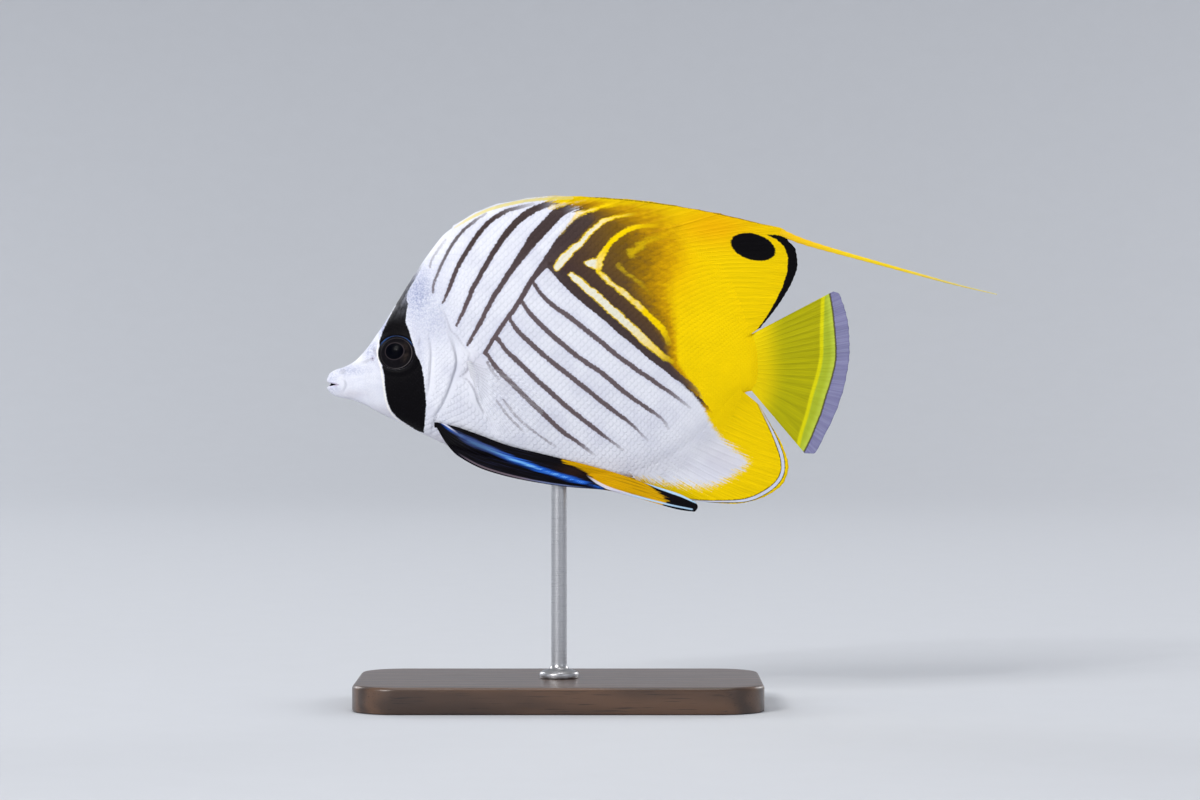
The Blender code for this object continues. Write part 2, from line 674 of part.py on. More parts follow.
def make_rod():
    """The rod, turned with a foot, its top shaped to the belly that it carries."""
    floor = BASE_SIZE[2] - MOUTH_HEIGHT + GAP
    turn = 2 * math.pi * np.arange(ROD_SIDES) / ROD_SIDES
    rings = []
    for radius, height in [*ROD_FOOT, (ROD_RADIUS, 4.0)]:
        rings.append(
            [(ROD_X + radius * math.cos(t), radius * math.sin(t), floor + height) for t in turn]
        )
    for radius in (ROD_RADIUS, ROD_RADIUS * 0.45):
        ring = []
        for t in turn:
            x, y = ROD_X + radius * math.cos(t), radius * math.sin(t)
            ring.append((x, y, belly_height(x, y) - GAP))
        rings.append(ring)
    make_object("stand_rod", np.concatenate(rings), ring_faces(len(rings), ROD_SIDES), "rod_steel")


def main():
    for obj in list(bpy.data.objects):
        bpy.data.objects.remove(obj)
    make_head()
    make_eyes()
    make_trunk()
    make_dorsal_fin()
    make_anal_fin()
    make_tail_fin()
    make_pectoral_fins()
    make_pelvic_fins()
    make_base()
    make_rod()


main()
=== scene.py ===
"""Dresses the life-size model of a threadfin butterflyfish on its stand, for its portrait.

The fish is laid out in a frame of its own, in millimetres. x runs back from the snout tip, z is the
height above the mouth line, and y is the distance from the middle plane, with the left flank at -y.
to_world() turns that frame into metres over the stand. The markings are drawn on a flat chart of
the flank, and chart() turns its points into x and z.
"""

from __future__ import annotations

import logging
import math
from collections.abc import Iterable, Sequence
from dataclasses import dataclass
from enum import Enum, StrEnum

import bpy
import numpy as np
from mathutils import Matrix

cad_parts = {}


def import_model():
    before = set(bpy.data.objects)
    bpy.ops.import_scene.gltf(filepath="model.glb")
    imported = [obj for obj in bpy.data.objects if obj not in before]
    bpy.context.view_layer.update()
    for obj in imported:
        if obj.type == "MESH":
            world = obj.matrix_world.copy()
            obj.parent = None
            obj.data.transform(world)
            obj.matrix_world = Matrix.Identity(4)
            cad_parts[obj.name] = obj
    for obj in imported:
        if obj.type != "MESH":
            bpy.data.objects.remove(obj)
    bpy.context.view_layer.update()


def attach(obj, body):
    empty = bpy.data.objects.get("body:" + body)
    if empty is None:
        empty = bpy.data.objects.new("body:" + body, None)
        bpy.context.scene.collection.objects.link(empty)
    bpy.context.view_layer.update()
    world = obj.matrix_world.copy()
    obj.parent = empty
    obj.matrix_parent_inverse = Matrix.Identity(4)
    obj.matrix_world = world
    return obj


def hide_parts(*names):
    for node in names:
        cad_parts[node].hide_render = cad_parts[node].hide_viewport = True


log = logging.getLogger("butterflyfish")

Array = np.ndarray
Points = Sequence[tuple[float, float]]
Colour = tuple[float, float, float]

MM = 0.001
ROD_X = 71.0
MOUTH_HEIGHT = 98.0
CHART_UNIT = 0.306
CHART_ZERO = (327.0, 384.0)
LAYER_LIMIT = 2.0
STAND_SHIFT = (-ROD_X, 0.0, MOUTH_HEIGHT)
# Where a colour mix node has its share, its two colours and its result.
MIX_INPUTS = (0, 6, 7)
MIX_OUTPUT = 2


class Side(Enum):
    """The two flanks of the fish, by the sign of their y."""

    LEFT = -1
    RIGHT = 1


class Layer(StrEnum):
    """The painted layers of the flesh: an edge distance in millimetres, or a share from 0 to 1."""

    STRIPE = "stripe"
    STRIPE_FADE = "stripe_fade"
    STRIPE_DARK = "stripe_dark"
    WARM = "warm"
    BROWN = "brown"
    ORANGE = "orange"
    GOLD = "gold"
    GOLD_FADE = "gold_fade"
    CREAM = "cream"
    LEMON = "lemon"
    LEMON_FADE = "lemon_fade"
    LEMON_TONE = "lemon_tone"
    BLACK = "black"
    BLACK_FADE = "black_fade"
    PALE = "pale"
    PALE_FADE = "pale_fade"
    CREASE = "crease"
    CREASE_FADE = "crease_fade"
    SHADE = "shade"
    COOL = "cool"
    UMBER = "umber"


def to_world(points: Array) -> Array:
    """Moves points from the fish's frame, in millimetres, onto the stand, in metres."""
    return (np.asarray(points, float) + STAND_SHIFT) * MM


def from_world(points: Array) -> Array:
    """Moves points from the row's frame, in metres, back into the fish's, in millimetres."""
    return np.asarray(points, float) / MM - STAND_SHIFT


def chart(points: Points) -> Array:
    """Turns points of the flank chart, across and down, into rows of x and z."""
    return (np.asarray(points, float) - CHART_ZERO) * (CHART_UNIT, -CHART_UNIT)


def smoothstep(value: Array, low: float | Array, high: float | Array) -> Array:
    """Eases a value from 0 at low to 1 at high."""
    share = np.clip((value - low) / (high - low), 0.0, 1.0)
    return share * share * (3 - 2 * share)


def turns(count: int) -> Array:
    """Lists evenly spaced angles, once round."""
    return 2 * math.pi * np.arange(count) / count


def oval(
    x: Array, z: Array, middle: tuple[float, float], radii: tuple[float, float]
) -> Array:
    """Measures how far places lie from an oval's middle, where 1 is its rim."""
    return np.hypot((x - middle[0]) / radii[0], (z - middle[1]) / radii[1])


def ridges(value: Array, rows: Sequence[tuple[float, float, float]]) -> Array:
    """Sums soft ridges, each with its height, its middle and its width."""
    return sum(high * np.exp(-(((value - at) / wide) ** 2)) for high, at, wide in rows)


class Curve:
    """A smooth value through a few given points, with no overshoot between them."""

    def __init__(self, points: Points) -> None:
        """Fits the curve.

        Args:
            points: Pairs of a place and the value there, in rising order of place.
        """
        self.at, self.value = np.array(points, float).T
        slope = np.diff(self.value) / np.diff(self.at)
        rising = slope[:-1] * slope[1:] > 0
        total = np.where(rising, slope[:-1] + slope[1:], 1.0)
        inner = np.where(rising, 2 * slope[:-1] * slope[1:] / total, 0.0)
        self.tangent = np.concatenate([slope[:1], inner, slope[-1:]])

    def __call__(self, at: float | Array) -> Array:
        """Reads the curve.

        Args:
            at: One place or many. Places past an end read the value at that end.

        Returns:
            The value at each place.
        """
        at = np.clip(np.asarray(at, float), self.at[0], self.at[-1])
        i = np.clip(np.searchsorted(self.at, at) - 1, 0, len(self.at) - 2)
        span = self.at[i + 1] - self.at[i]
        u = (at - self.at[i]) / span
        return (
            self.value[i] * (1 + 2 * u) * (1 - u) ** 2
            + self.value[i + 1] * u * u * (3 - 2 * u)
            + span * self.tangent[i] * u * (1 - u) ** 2
            - span * self.tangent[i + 1] * u * u * (1 - u)
        )


def smooth_line(points: Array, steps: int = 4) -> Array:
    """Rounds a line of points into a dense one that passes through all of them.

    Args:
        points: Rows of x and z.
        steps: How many short pieces each span is cut into.

    Returns:
        The dense line.
    """
    ends = [2 * points[:1] - points[1:2], points, 2 * points[-1:] - points[-2:-1]]
    padded = np.concatenate(ends)
    t = (np.arange(steps) / steps)[:, None]
    spans = []
    for a, b, c, d in zip(padded, padded[1:], padded[2:], padded[3:]):
        cubic = (3 * b - a - 3 * c + d) * t**3
        spans.append(0.5 * (2 * b + (c - a) * t + (2 * a - 5 * b + 4 * c - d) * t**2 + cubic))
    return np.concatenate([*spans, points[-1:]])


def nearest_on(line: Array, places: Array) -> tuple[Array, Array, Array]:
    """Finds the nearest point of a line to each place.

    Args:
        line: The line's corners, as rows of x and z.
        places: The places, as rows of x and z.

    Returns:
        The distance, the share of the line's length at its nearest point, and which side of the
        line the place is on: 1 to its left and -1 to its right, looking along it.
    """
    steps = np.linalg.norm(np.diff(line, axis=0), axis=1)
    run = np.concatenate([[0.0], np.cumsum(steps)])
    best = np.full(len(places), np.inf)
    share = np.zeros(len(places))
    side = np.ones(len(places))
    for start, end, length, before in zip(line[:-1], line[1:], steps, run):
        way = (end - start) / length
        gap = places - start
        along = np.clip(gap @ way, 0.0, length)
        off = gap - along[:, None] * way
        distance = np.hypot(off[:, 0], off[:, 1])
        nearer = distance < best
        best[nearer] = distance[nearer]
        share[nearer] = (before + along[nearer]) / run[-1]
        side[nearer] = np.sign(way[0] * gap[nearer, 1] - way[1] * gap[nearer, 0])
    return best, share, side


@dataclass(frozen=True)
class Stroke:
    """A painted line of the chart, whose width, strength and tone change along it."""

    line: Points
    width: Points = ((0.0, 3.5), (0.2, 4.8), (0.7, 4.5), (1.0, 2.2))
    strength: Points = ((0.0, 0.9), (0.8, 0.9), (1.0, 0.1))
    tone: Points = ((0.0, 0.0), (1.0, 0.0))
    softness: float = 1.0

    def measure(self, places: Array) -> tuple[Array, Array, Array]:
        """Measures how deep places lie inside the painted line.

        Args:
            places: Rows of x and z.

        Returns:
            The distance inside the line's edge, down to -LAYER_LIMIT, its strength and its tone.
        """
        line = smooth_line(chart(self.line))
        widest = max(width for _, width in self.width) * CHART_UNIT / 2
        low = line.min(axis=0) - widest - LAYER_LIMIT
        high = line.max(axis=0) + widest + LAYER_LIMIT
        near = np.all((places > low) & (places < high), axis=1)
        edge = np.full(len(places), -LAYER_LIMIT)
        strength, tone = np.zeros(len(places)), np.zeros(len(places))
        distance, share, _ = nearest_on(line, places[near])
        inside = (Curve(self.width)(share) * CHART_UNIT / 2 - distance) / self.softness
        edge[near] = np.clip(inside, -LAYER_LIMIT, LAYER_LIMIT)
        strength[near] = Curve(self.strength)(share)
        tone[near] = Curve(self.tone)(share)
        return edge, strength, tone


def strongest(strokes: Iterable[Stroke], places: Array) -> tuple[Array, Array, Array]:
    """Lays several strokes over each other.

    Args:
        strokes: The strokes.
        places: Rows of x and z.

    Returns:
        The edge distance, strength and tone of the stroke that each place lies deepest in.
    """
    edge = np.full(len(places), -LAYER_LIMIT)
    strength, tone = np.zeros(len(places)), np.zeros(len(places))
    for stroke in strokes:
        deep, power, shade = stroke.measure(places)
        wins = (deep > edge) & ((power > 0.02) | (edge < -0.3))
        edge[wins], strength[wins], tone[wins] = deep[wins], power[wins], shade[wins]
    return edge, strength, tone


def inside_outline(outline: Points, places: Array, softness: Array | float = 1.0) -> Array:
    """Measures how deep places lie inside a closed outline of the chart.

    Args:
        outline: The outline's corners on the chart.
        places: Rows of x and z.
        softness: What each distance is divided by, to widen a soft edge.

    Returns:
        The distance inside the outline, negative outside it, within LAYER_LIMIT.
    """
    corners = chart(outline)
    ring = np.concatenate([corners, corners[:1]])
    distance, _, _ = nearest_on(ring, places)
    odd = np.zeros(len(places), bool)
    for (x0, z0), (x1, z1) in zip(ring[:-1], ring[1:]):
        spans = (z0 > places[:, 1]) != (z1 > places[:, 1])
        if z0 != z1:
            odd ^= spans & (places[:, 0] < (x1 - x0) * (places[:, 1] - z0) / (z1 - z0) + x0)
    return np.clip(np.where(odd, distance, -distance) / softness, -LAYER_LIMIT, LAYER_LIMIT)


def glow(
    spots: Sequence[tuple[float, float, float, float, float]], places: Array
) -> Array:
    """Lays soft round spots over each other.

    Args:
        spots: Each spot's place on the chart, its half width, its half height and its strength.
        places: Rows of x and z.

    Returns:
        The strength of the strongest spot at each place.
    """
    result = np.zeros(len(places))
    for across, down, wide, high, power in spots:
        gap = (places - chart([(across, down)])[0]) / (wide * CHART_UNIT, high * CHART_UNIT)
        result = np.maximum(result, power * np.exp(-np.sum(gap**2, axis=1)))
    return result


@dataclass(frozen=True)
class Markings:
    """Everything that is painted on the flanks and on the fins that carry the flanks' pattern."""

    rising_stripes: tuple[Stroke, ...] = (
        Stroke(((430.5, 268), (432.2, 260.5), (439.8, 248.5), (446, 240)), ((0, 2.2), (1, 2.2)),
               ((0, 0.3), (1, 0.15))),
        Stroke(((434, 292.6), (434.9, 283.2), (441.9, 265.9), (450.6, 248.5), (460.4, 234.4),
               (473.4, 222.5), (486.4, 213.9)), ((0, 2.4), (0.5, 3.0), (1, 2.4)), ((0, 0.6), (0.7, 0.75),
               (1, 0.2))),
        Stroke(((444, 303.3), (450.6, 287.6), (458.2, 268), (468, 250.7), (478.8, 234.4), (490.7, 221.4),
               (505.9, 211.7), (522.2, 206.8), (533, 204.2)), ((0, 2.0), (0.15, 3.8), (0.6, 4.6),
               (1, 3.0)), ((0, 0.8), (0.1, 1.0), (0.65, 1.0), (1, 0.15))),
        Stroke(((457.4, 326.2), (465.8, 307.9), (474.4, 287.6), (486.4, 265.9), (497.2, 247.5),
               (508.1, 232.3), (520, 219.3), (532, 211), (541, 206.8), (550, 203.8), (560, 201.5)),
               ((0, 2.2), (0.15, 4.2), (0.5, 5.2), (0.75, 7.2), (0.9, 6.0), (1, 3.0)), ((0, 0.8),
               (0.08, 1.0), (0.82, 1.0), (0.91, 0.7), (1, 0.0))),
        Stroke(((468.3, 345.5), (480.7, 323.5), (491.8, 301.7), (500.5, 287.6), (513.5, 268), (525, 252),
               (533, 240.7), (543, 229.3), (552, 219.5), (559, 213), (568, 209), (580, 206.5)), ((0, 2.5),
               (0.14, 4.0), (0.36, 5.0), (0.49, 6.0), (0.6, 8.5), (0.67, 11.0), (0.76, 12.0),
               (0.83, 12.0), (0.88, 11.0), (0.93, 8.0), (1, 3.0)), ((0, 0.9), (0.1, 1.0), (0.88, 1.0),
               (0.93, 0.75), (1, 0.0))),
        Stroke(((485.5, 353.1), (497.9, 333.1), (511.3, 313.9), (522.8, 296.7), (527.6, 287.6),
               (538.4, 272.5), (546, 263.5), (553.5, 255), (561.5, 244.5), (567.8, 237.8), (576, 229.3),
               (584.3, 221.4), (596, 214.5)), ((0, 4.0), (0.35, 4.8), (0.5, 5.5), (0.6, 8.5),
               (0.67, 12.5), (0.74, 14.2), (0.86, 15.2), (0.92, 14.0), (1, 8.0)), ((0, 1.0), (0.94, 1.0),
               (1, 0.1))),
    )
    falling_stripes: tuple[Stroke, ...] = (
        Stroke(((548, 263), (556, 269.6), (568.9, 283.9), (584.8, 298.3), (602.3, 312.6), (618.3, 327),
               (634.2, 339.7), (650.2, 354.1), (666.1, 366.8), (677.3, 376.4), (693.2, 387.6),
               (702, 398)), ((0, 9.0), (0.1, 10.5), (0.6, 10.0), (0.8, 8.0), (0.93, 5.0), (1, 2.0)),
               ((0, 1.0), (0.85, 1.0), (1, 0.25)), ((0, 1.0), (0.75, 0.9), (1, 0.6))),
        Stroke(((534, 284), (542, 295), (556, 308), (572, 319), (588, 332), (605.5, 346), (621.5, 359),
               (637, 370), (653, 381), (674, 395.5), (690, 408))),
        Stroke(((521, 300), (530.6, 314), (543, 327), (559, 341), (578, 357), (597.6, 370), (613.5, 383),
               (629, 395.5), (645, 407), (661, 418), (668.5, 429))),
        Stroke(((509, 317), (519, 332), (534, 346), (550, 360), (566, 373), (585, 387.6), (602, 402),
               (617, 413), (631, 424), (647, 440))),
        Stroke(((497, 336.5), (507, 351), (521, 364), (537, 380), (553, 394), (569, 408), (585, 421),
               (602, 434), (623, 450))),
        Stroke(((487, 353), (499, 370), (513, 384), (529, 400), (546.5, 416), (562.5, 431), (578, 442),
               (594, 454.5))),
        Stroke(((503.5, 399), (516, 415), (534, 431), (556, 446.5)), ((0, 2.4), (1, 2.2)), ((0, 0.36),
               (0.8, 0.36), (1, 0.1))),
        Stroke(((497, 400), (508, 415), (524, 431)), ((0, 2.4), (1, 2.2)), ((0, 0.34), (0.8, 0.34),
               (1, 0.1))),
        Stroke(((487.5, 362), (493, 371), (499, 379)), ((0, 2.6), (1, 2.4)), ((0, 0.4), (1, 0.15))),
    )
    chevrons: tuple[Stroke, ...] = (
        Stroke(((557.5, 267.5), (562, 260.5), (568.2, 254.3), (573.8, 248.7), (580.1, 243.8),
               (585.7, 236.8), (590.6, 231.9), (596.2, 227), (602.5, 221.4), (613, 217.9), (622, 215.8),
               (636, 214)), ((0, 7.5), (0.1, 8.6), (0.25, 6.6), (0.4, 5.2), (0.55, 5.0), (0.68, 4.4),
               (0.8, 3.0), (1, 2.4)), ((0, 1.0), (0.8, 1.0), (1, 0.2)), ((0, 1.0), (0.45, 0.9),
               (0.62, 0.55), (0.75, 0.2), (1, 0.0))),
        Stroke(((570.5, 275), (577, 280), (585, 287), (594, 294.5), (603, 302.5), (612, 311), (621, 319),
               (631, 328), (641, 337.5), (650, 345.5), (661, 355), (672, 362)), ((0, 5.0), (0.06, 7.6),
               (0.4, 8.4), (0.7, 8.0), (0.85, 6.5), (1, 4.0)), ((0, 1.0), (0.85, 1.0), (1, 0.4)),
               ((0, 1.0), (0.5, 1.0), (0.7, 0.6), (0.9, 0.1), (1, 0.0))),
        Stroke(((599, 272), (597.8, 266), (600, 259), (604, 252), (611.5, 241.5), (619, 235.2),
               (626, 231), (634, 227.8), (646, 226), (662, 225)), ((0, 3.4), (0.07, 6.0), (0.14, 7.2),
               (0.3, 5.0), (0.45, 5.2), (0.75, 4.2), (1, 4.0)), ((0, 0.85), (0.08, 1.0), (0.6, 1.0),
               (0.78, 0.75), (1, 0.0)), ((0, 0.0), (0.1, 0.3), (0.2, 0.1), (0.3, 0.0), (1, 0.0))),
        Stroke(((596.6, 271), (602.5, 276), (607, 280), (612, 284.5), (618, 289.5), (624, 293.5),
               (630, 299), (637, 305), (645, 312.5), (653, 320), (660, 327.5), (665, 335), (668, 343)),
               ((0, 2.6), (0.1, 5.2), (0.17, 4.6), (0.23, 3.8), (0.3, 5.2), (0.5, 5.6), (0.8, 6.0),
               (1, 4.5)), ((0, 1.0), (0.8, 1.0), (1, 0.3)), ((0, 0.0), (0.08, 0.3), (0.13, 0.8),
               (0.17, 0.3), (0.23, 0.7), (0.3, 0.3), (0.37, 0.6), (0.45, 0.15), (0.52, 0.45), (0.6, 0.0),
               (1, 0.0))),
        Stroke(((584.5, 263.2), (590, 263.8), (597, 264.6)), ((0, 2.4), (0.4, 8.0), (1, 11.0)), ((0, 1.0),
               (1, 1.0)), ((0, 1.0), (0.75, 1.0), (1, 0.3))),
        Stroke(((631.5, 253), (637.5, 248), (643, 243.6), (650, 240.2), (658, 237.4), (670, 235)),
               ((0, 7.5), (0.2, 6.5), (0.4, 5.5), (1, 6.0)), ((0, 0.5), (0.25, 0.5), (0.6, 0.35),
               (1, 0.0)), softness=2.6),
        Stroke(((618, 266), (622.5, 269.8), (628, 275), (634, 279.3), (640, 284), (646, 290),
               (650.5, 296)), ((0, 5.0), (0.18, 4.0), (0.3, 2.6), (1, 2.0)), ((0, 0.25), (0.2, 0.4),
               (0.6, 0.3), (1, 0.05)), softness=1.8),
        Stroke(((558.5, 237), (563, 231.6), (568, 225.6), (573, 219.6), (578.5, 214.6)), ((0, 1.6),
               (0.5, 2.0), (1, 2.4)), ((0, 0.1), (0.4, 0.4), (1, 0.8))),
        Stroke(((577, 215.3), (582, 213), (590, 210.2), (599, 207.4), (608, 205.2), (622, 203.0)),
               ((0, 4.4), (0.3, 3.6), (1, 3.4)), ((0, 0.8), (0.2, 1.0), (0.7, 0.9), (1, 0.0)), ((0, 0.9),
               (0.2, 0.5), (0.5, 0.0), (1, 0.0)), softness=1.5),
        Stroke(((551, 208), (557, 205.8), (565, 204), (573, 202.2), (586, 200.4)), ((0, 3.4), (0.3, 3.0),
               (1, 2.6)), ((0, 0.5), (0.3, 0.75), (1, 0.2)), ((0, 0.9), (0.4, 0.7),
               (1, 0.3)), softness=1.6),
    )
    warm_outline: Points = ((533, 190), (545, 200), (556, 205.5), (570, 207.5), (581.5, 211.5),
                            (577, 222), (563, 238), (552, 253), (545, 262.5), (556, 269.6),
                            (568.9, 283.9), (584.8, 298.3), (602.3, 312.6), (618.3, 327), (634.2, 339.7),
                            (650.2, 354.1), (666.1, 366.8), (677.3, 378), (685, 388), (692.5, 394.5),
                            (700, 403), (705, 411), (708.5, 420), (713.5, 428), (720, 436), (729, 443.5),
                            (738, 450), (744.5, 456.5), (748.5, 463), (744, 469), (735, 474), (727, 479),
                            (716, 484), (702, 487), (690, 486), (680, 484.5), (670, 484), (660, 482),
                            (650, 480.5), (640, 479), (630, 478), (615, 500), (640, 530), (900, 530),
                            (900, 150), (600, 150))
    warm_softness: Points = ((-40.0, 3.4), (-20.0, 2.6), (-12.0, 1.7), (-6.0, 1.0), (46.0, 1.0),
                             (52.0, 2.4), (60.0, 3.6))
    brown_edge: Points = ((572, 204), (590, 205), (606, 208), (622, 213), (636, 219.5), (648, 229),
                          (655, 240), (656, 254), (654, 268), (652, 282), (656.5, 300), (663, 318),
                          (668, 335), (670.5, 348), (671.5, 356), (673.5, 363), (678, 371), (687, 382),
                          (697, 394))
    brown_softness: Points = ((0, 2.0), (0.12, 3.0), (0.22, 6.5), (0.3, 11.0), (0.38, 12.5), (0.45, 12.0),
                              (0.52, 10.0), (0.6, 7.4), (0.7, 5.0), (0.78, 2.8), (1, 1.2))
    umber_middle: tuple[float, float] = (560.0, 262.0)
    umber_reach: float = 68.0
    umber_slopes: tuple[float, float] = (0.35, 0.9)
    frame_widening: float = 0.25
    frame_strength: float = 0.85
    brown_floor: tuple[float, float] = (-10.0, -4.0)
    oranges: tuple[tuple[float, float, float, float, float], ...] = (
        (713.0, 226.0, 44.0, 20.0, 1.0), (672.0, 262.0, 26.0, 42.0, 0.55))
    dorsal_margin: Points = ((765, 234.4), (778, 235), (792, 239.5), (799, 247.5), (801, 259),
                             (798.5, 273.5), (794, 286.5), (787, 298.5), (777, 312.5), (762.8, 331),
                             (751.2, 336.6), (753.5, 334.6), (766, 317.4), (774, 303.7), (782.2, 287.6),
                             (786.8, 272.7), (788, 258.9), (784.5, 247.4), (776.4, 239.4))
    spot_middle: tuple[float, float] = (753.0, 247.0)
    spot_radii: tuple[float, float] = (23.0, 13.0)
    spot_tilt_deg: float = 16.0
    eye_band_front: Points = ((403, 283), (401, 292), (399.4, 300), (392.7, 311.5), (387.9, 321.2),
                              (383, 332.1), (380.2, 340.6), (380.8, 353), (383, 364.8), (385.5, 377),
                              (386, 385.5), (387.3, 396.4), (389, 403.6), (392.7, 412.1), (398.8, 418.2),
                              (407.3, 424.2), (417, 430.3), (424.2, 433))
    eye_band_rear: Points = ((425.5, 423), (426.4, 413.3), (427.3, 404.8), (426, 389), (424.8, 375.8),
                             (422.4, 363.6), (417, 352.7), (413.3, 340.6), (410.3, 331), (406.7, 322.4),
                             (407.3, 312.7), (409, 304.2), (407, 299.4), (409, 288), (411, 280))
    eye_band_fade: Points = ((-14.0, 1.0), (18.0, 1.0), (21.0, 0.97), (24.0, 0.9), (27.0, 0.62),
                             (30.0, 0.32), (33.0, 0.12), (36.0, 0.0))
    ink_lines: tuple[Stroke, ...] = (
        Stroke(((575, 196.8), (588, 197.2), (608.5, 198.6), (627.7, 200.2), (646.7, 202.3),
               (680.4, 206.6), (700, 209.9), (722, 214.8), (736, 217.8), (750, 221.2), (765, 224.8),
               (776, 228)), ((0, 1.2), (1, 1.2)), ((0, 0.0), (0.15, 0.55), (0.8, 0.65), (1, 0.1))),
        Stroke(((398.6, 304), (405.4, 292.5), (411.4, 282.5), (418, 271.6), (424, 262.6)), ((0, 5.0),
               (0.5, 4.2), (1, 2.6)), ((0, 0.95), (0.45, 0.85), (0.75, 0.5), (1, 0.0))),
    )
    fringes: tuple[Stroke, ...] = (
        Stroke(((455, 228.2), (466, 221), (476, 215.6), (488, 210.2), (500, 206.4), (511, 203.8),
               (525, 200.9), (540, 199.2), (556, 198.4), (572, 198.0)), ((0, 1.8), (0.2, 3.0), (0.8, 3.6),
               (1, 3.0)), ((0, 0.4), (0.15, 0.75), (0.85, 0.85), (1, 0.6))),
        Stroke(((379.6, 338.5), (378.9, 345), (378.4, 353), (380.4, 361), (382.4, 370), (383.8, 379),
               (384.9, 388), (386.4, 398), (389.2, 408), (393.8, 415.2), (400, 420.8), (410, 427.2),
               (423, 435)), ((0, 1.0), (0.15, 1.9), (0.6, 1.8), (0.75, 1.3), (1, 0.9)), ((0, 0.3),
               (0.1, 0.9), (0.7, 0.9), (1, 0.4)), ((0, 1.0), (1, 1.0))),
    )
    anal_band: Stroke = Stroke(((690, 499.4), (700, 501), (720, 501.5), (740, 501), (752, 498.5),
                               (762, 494), (772, 487.5), (779, 480), (782.5, 472), (783, 464),
                               (781.5, 455), (778, 445), (772, 431), (766, 419), (760, 407), (756, 399),
                               (750, 392)), ((0, 0.8), (0.2, 1.6), (0.38, 3.0), (0.65, 3.0), (0.8, 1.8),
                               (1, 0.9)), ((0, 0.6), (0.1, 1.0), (0.75, 1.0), (0.85, 0.6), (1, 0.2)))
    dorsal_rim: Stroke = Stroke(((455, 226.4), (472, 215.4), (491, 207.2), (511, 201.8), (530, 198.8),
                                (550, 197.0), (572, 196.4)), ((0, 0.9), (1, 0.9)), ((0, 0.1), (0.3, 0.6),
                                (0.8, 0.6), (1, 0.1)))
    # Painted shade in the head's creases and recesses: the gill cover's grooves, the shoulder, round the
    # pectoral base, the mouth's corner and the front nostril, with a few olive-grey smudges on the snout.
    crease_shades_and_smudges: tuple[Stroke, ...] = (
        Stroke(((431, 335), (432, 351.5), (431.8, 364.8), (430.6, 383), (428.5, 397)), ((0, 0.6),
               (0.5, 1.3), (1, 0.6)), ((0, 0.0), (0.3, 0.36), (0.7, 0.36), (1, 0.0))),
        Stroke(((448, 331), (453.5, 345), (457.4, 358.8), (456.6, 367.3), (452.8, 380.6), (449.2, 390.3),
               (444, 401.2), (437, 408.5), (428, 412.5)), ((0, 0.8), (0.3, 1.6), (0.8, 1.2), (1, 0.8)),
               ((0, 0.1), (0.25, 0.36), (0.7, 0.2), (0.9, 0.06), (1, 0.0))),
        Stroke(((434.8, 296.7), (442.4, 306), (448, 319), (452, 330.5), (458, 336), (464.4, 345),
               (471, 353)), ((0, 0.6), (0.6, 1.2), (1, 1.0)), ((0, 0.0), (0.4, 0.26), (0.8, 0.34),
               (1, 0.1))),
        Stroke(((461, 376.4), (467, 371.6), (472, 365.6), (477, 359.6)), ((0, 0.8), (0.4, 1.8), (1, 1.0)),
               ((0, 0.6), (0.4, 0.52), (1, 0.1))),
        Stroke(((463.5, 377), (469.5, 380.5), (475.5, 390), (478.6, 400), (483, 409.5), (488.5, 419),
               (494, 428.5)), ((0, 1.0), (0.3, 1.8), (0.8, 1.6), (1, 0.8)), ((0, 0.4), (0.3, 0.56),
               (0.8, 0.4), (1, 0.04))),
        Stroke(((341, 377.5), (345.6, 381.5), (346.8, 386), (344.6, 390.5)), ((0, 0.8), (0.5, 1.4),
               (1, 0.8)), ((0, 0.0), (0.5, 0.24), (1, 0.0))),
        Stroke(((421.8, 336), (420.6, 342), (419.6, 348)), ((0, 1.0), (0.5, 1.6), (1, 1.0)), ((0, 0.0),
               (0.5, 0.3), (1, 0.0))),
        Stroke(((372.4, 358.7), (374.4, 358.1)), ((0, 1.5), (1, 1.3)), ((0, 0.85), (1, 0.8))),
        Stroke(((374.5, 346.5), (375.6, 351), (377.6, 357)), ((0, 2.0), (0.5, 3.2), (1, 1.6)), ((0, 0.05),
               (0.3, 0.34), (0.8, 0.30), (1, 0.1))),
        Stroke(((358, 364), (366, 361.8), (372.5, 358.6)), ((0, 2.0), (0.6, 3.2), (1, 1.6)), ((0, 0.0),
               (0.5, 0.22), (1, 0.30))),
        Stroke(((338.5, 372.5), (343, 371.4), (348, 370)), ((0, 2.5), (0.5, 4.6), (1, 2.0)), ((0, 0.0),
               (0.5, 0.26), (1, 0.0))),
    )
    # Soft spots of painted shade with a pinkish tone, mostly under the head, along the belly and towards
    # the anal fin's corner.
    shades: tuple[tuple[float, float, float, float, float], ...] = (
        (352.0, 394.0, 16.0, 4.5, 0.30), (385.0, 412.0, 26.0, 7.0, 0.26), (440.0, 440.0, 18.0, 7.0, 0.34),
        (728.0, 456.0, 30.0, 22.0, 0.34), (692.0, 470.0, 34.0, 16.0, 0.14),
        (556.0, 269.0, 8.0, 7.0, 0.42), (476.0, 369.0, 11.0, 13.0, 0.30),
        (505.0, 385.0, 11.0, 10.0, 0.16), (600.0, 466.0, 120.0, 12.0, 0.16))
    # Soft spots of painted bluish light from the surroundings, on the forehead, snout, lips and gill
    # region.
    painted_blue_light_spots: tuple[tuple[float, float, float, float, float], ...] = (
        (419.0, 294.0, 17.0, 32.0, 0.74), (434.0, 316.0, 18.0, 26.0, 0.42),
        (350.0, 370.0, 24.0, 6.0, 0.46), (371.0, 350.0, 9.0, 14.0, 0.55), (384.0, 326.0, 6.0, 18.0, 0.75),
        (332.0, 377.0, 8.0, 6.0, 0.45), (333.0, 389.0, 9.0, 5.0, 0.35), (421.0, 348.0, 6.0, 30.0, 0.28),
        (365.0, 385.0, 22.0, 16.0, 0.16))

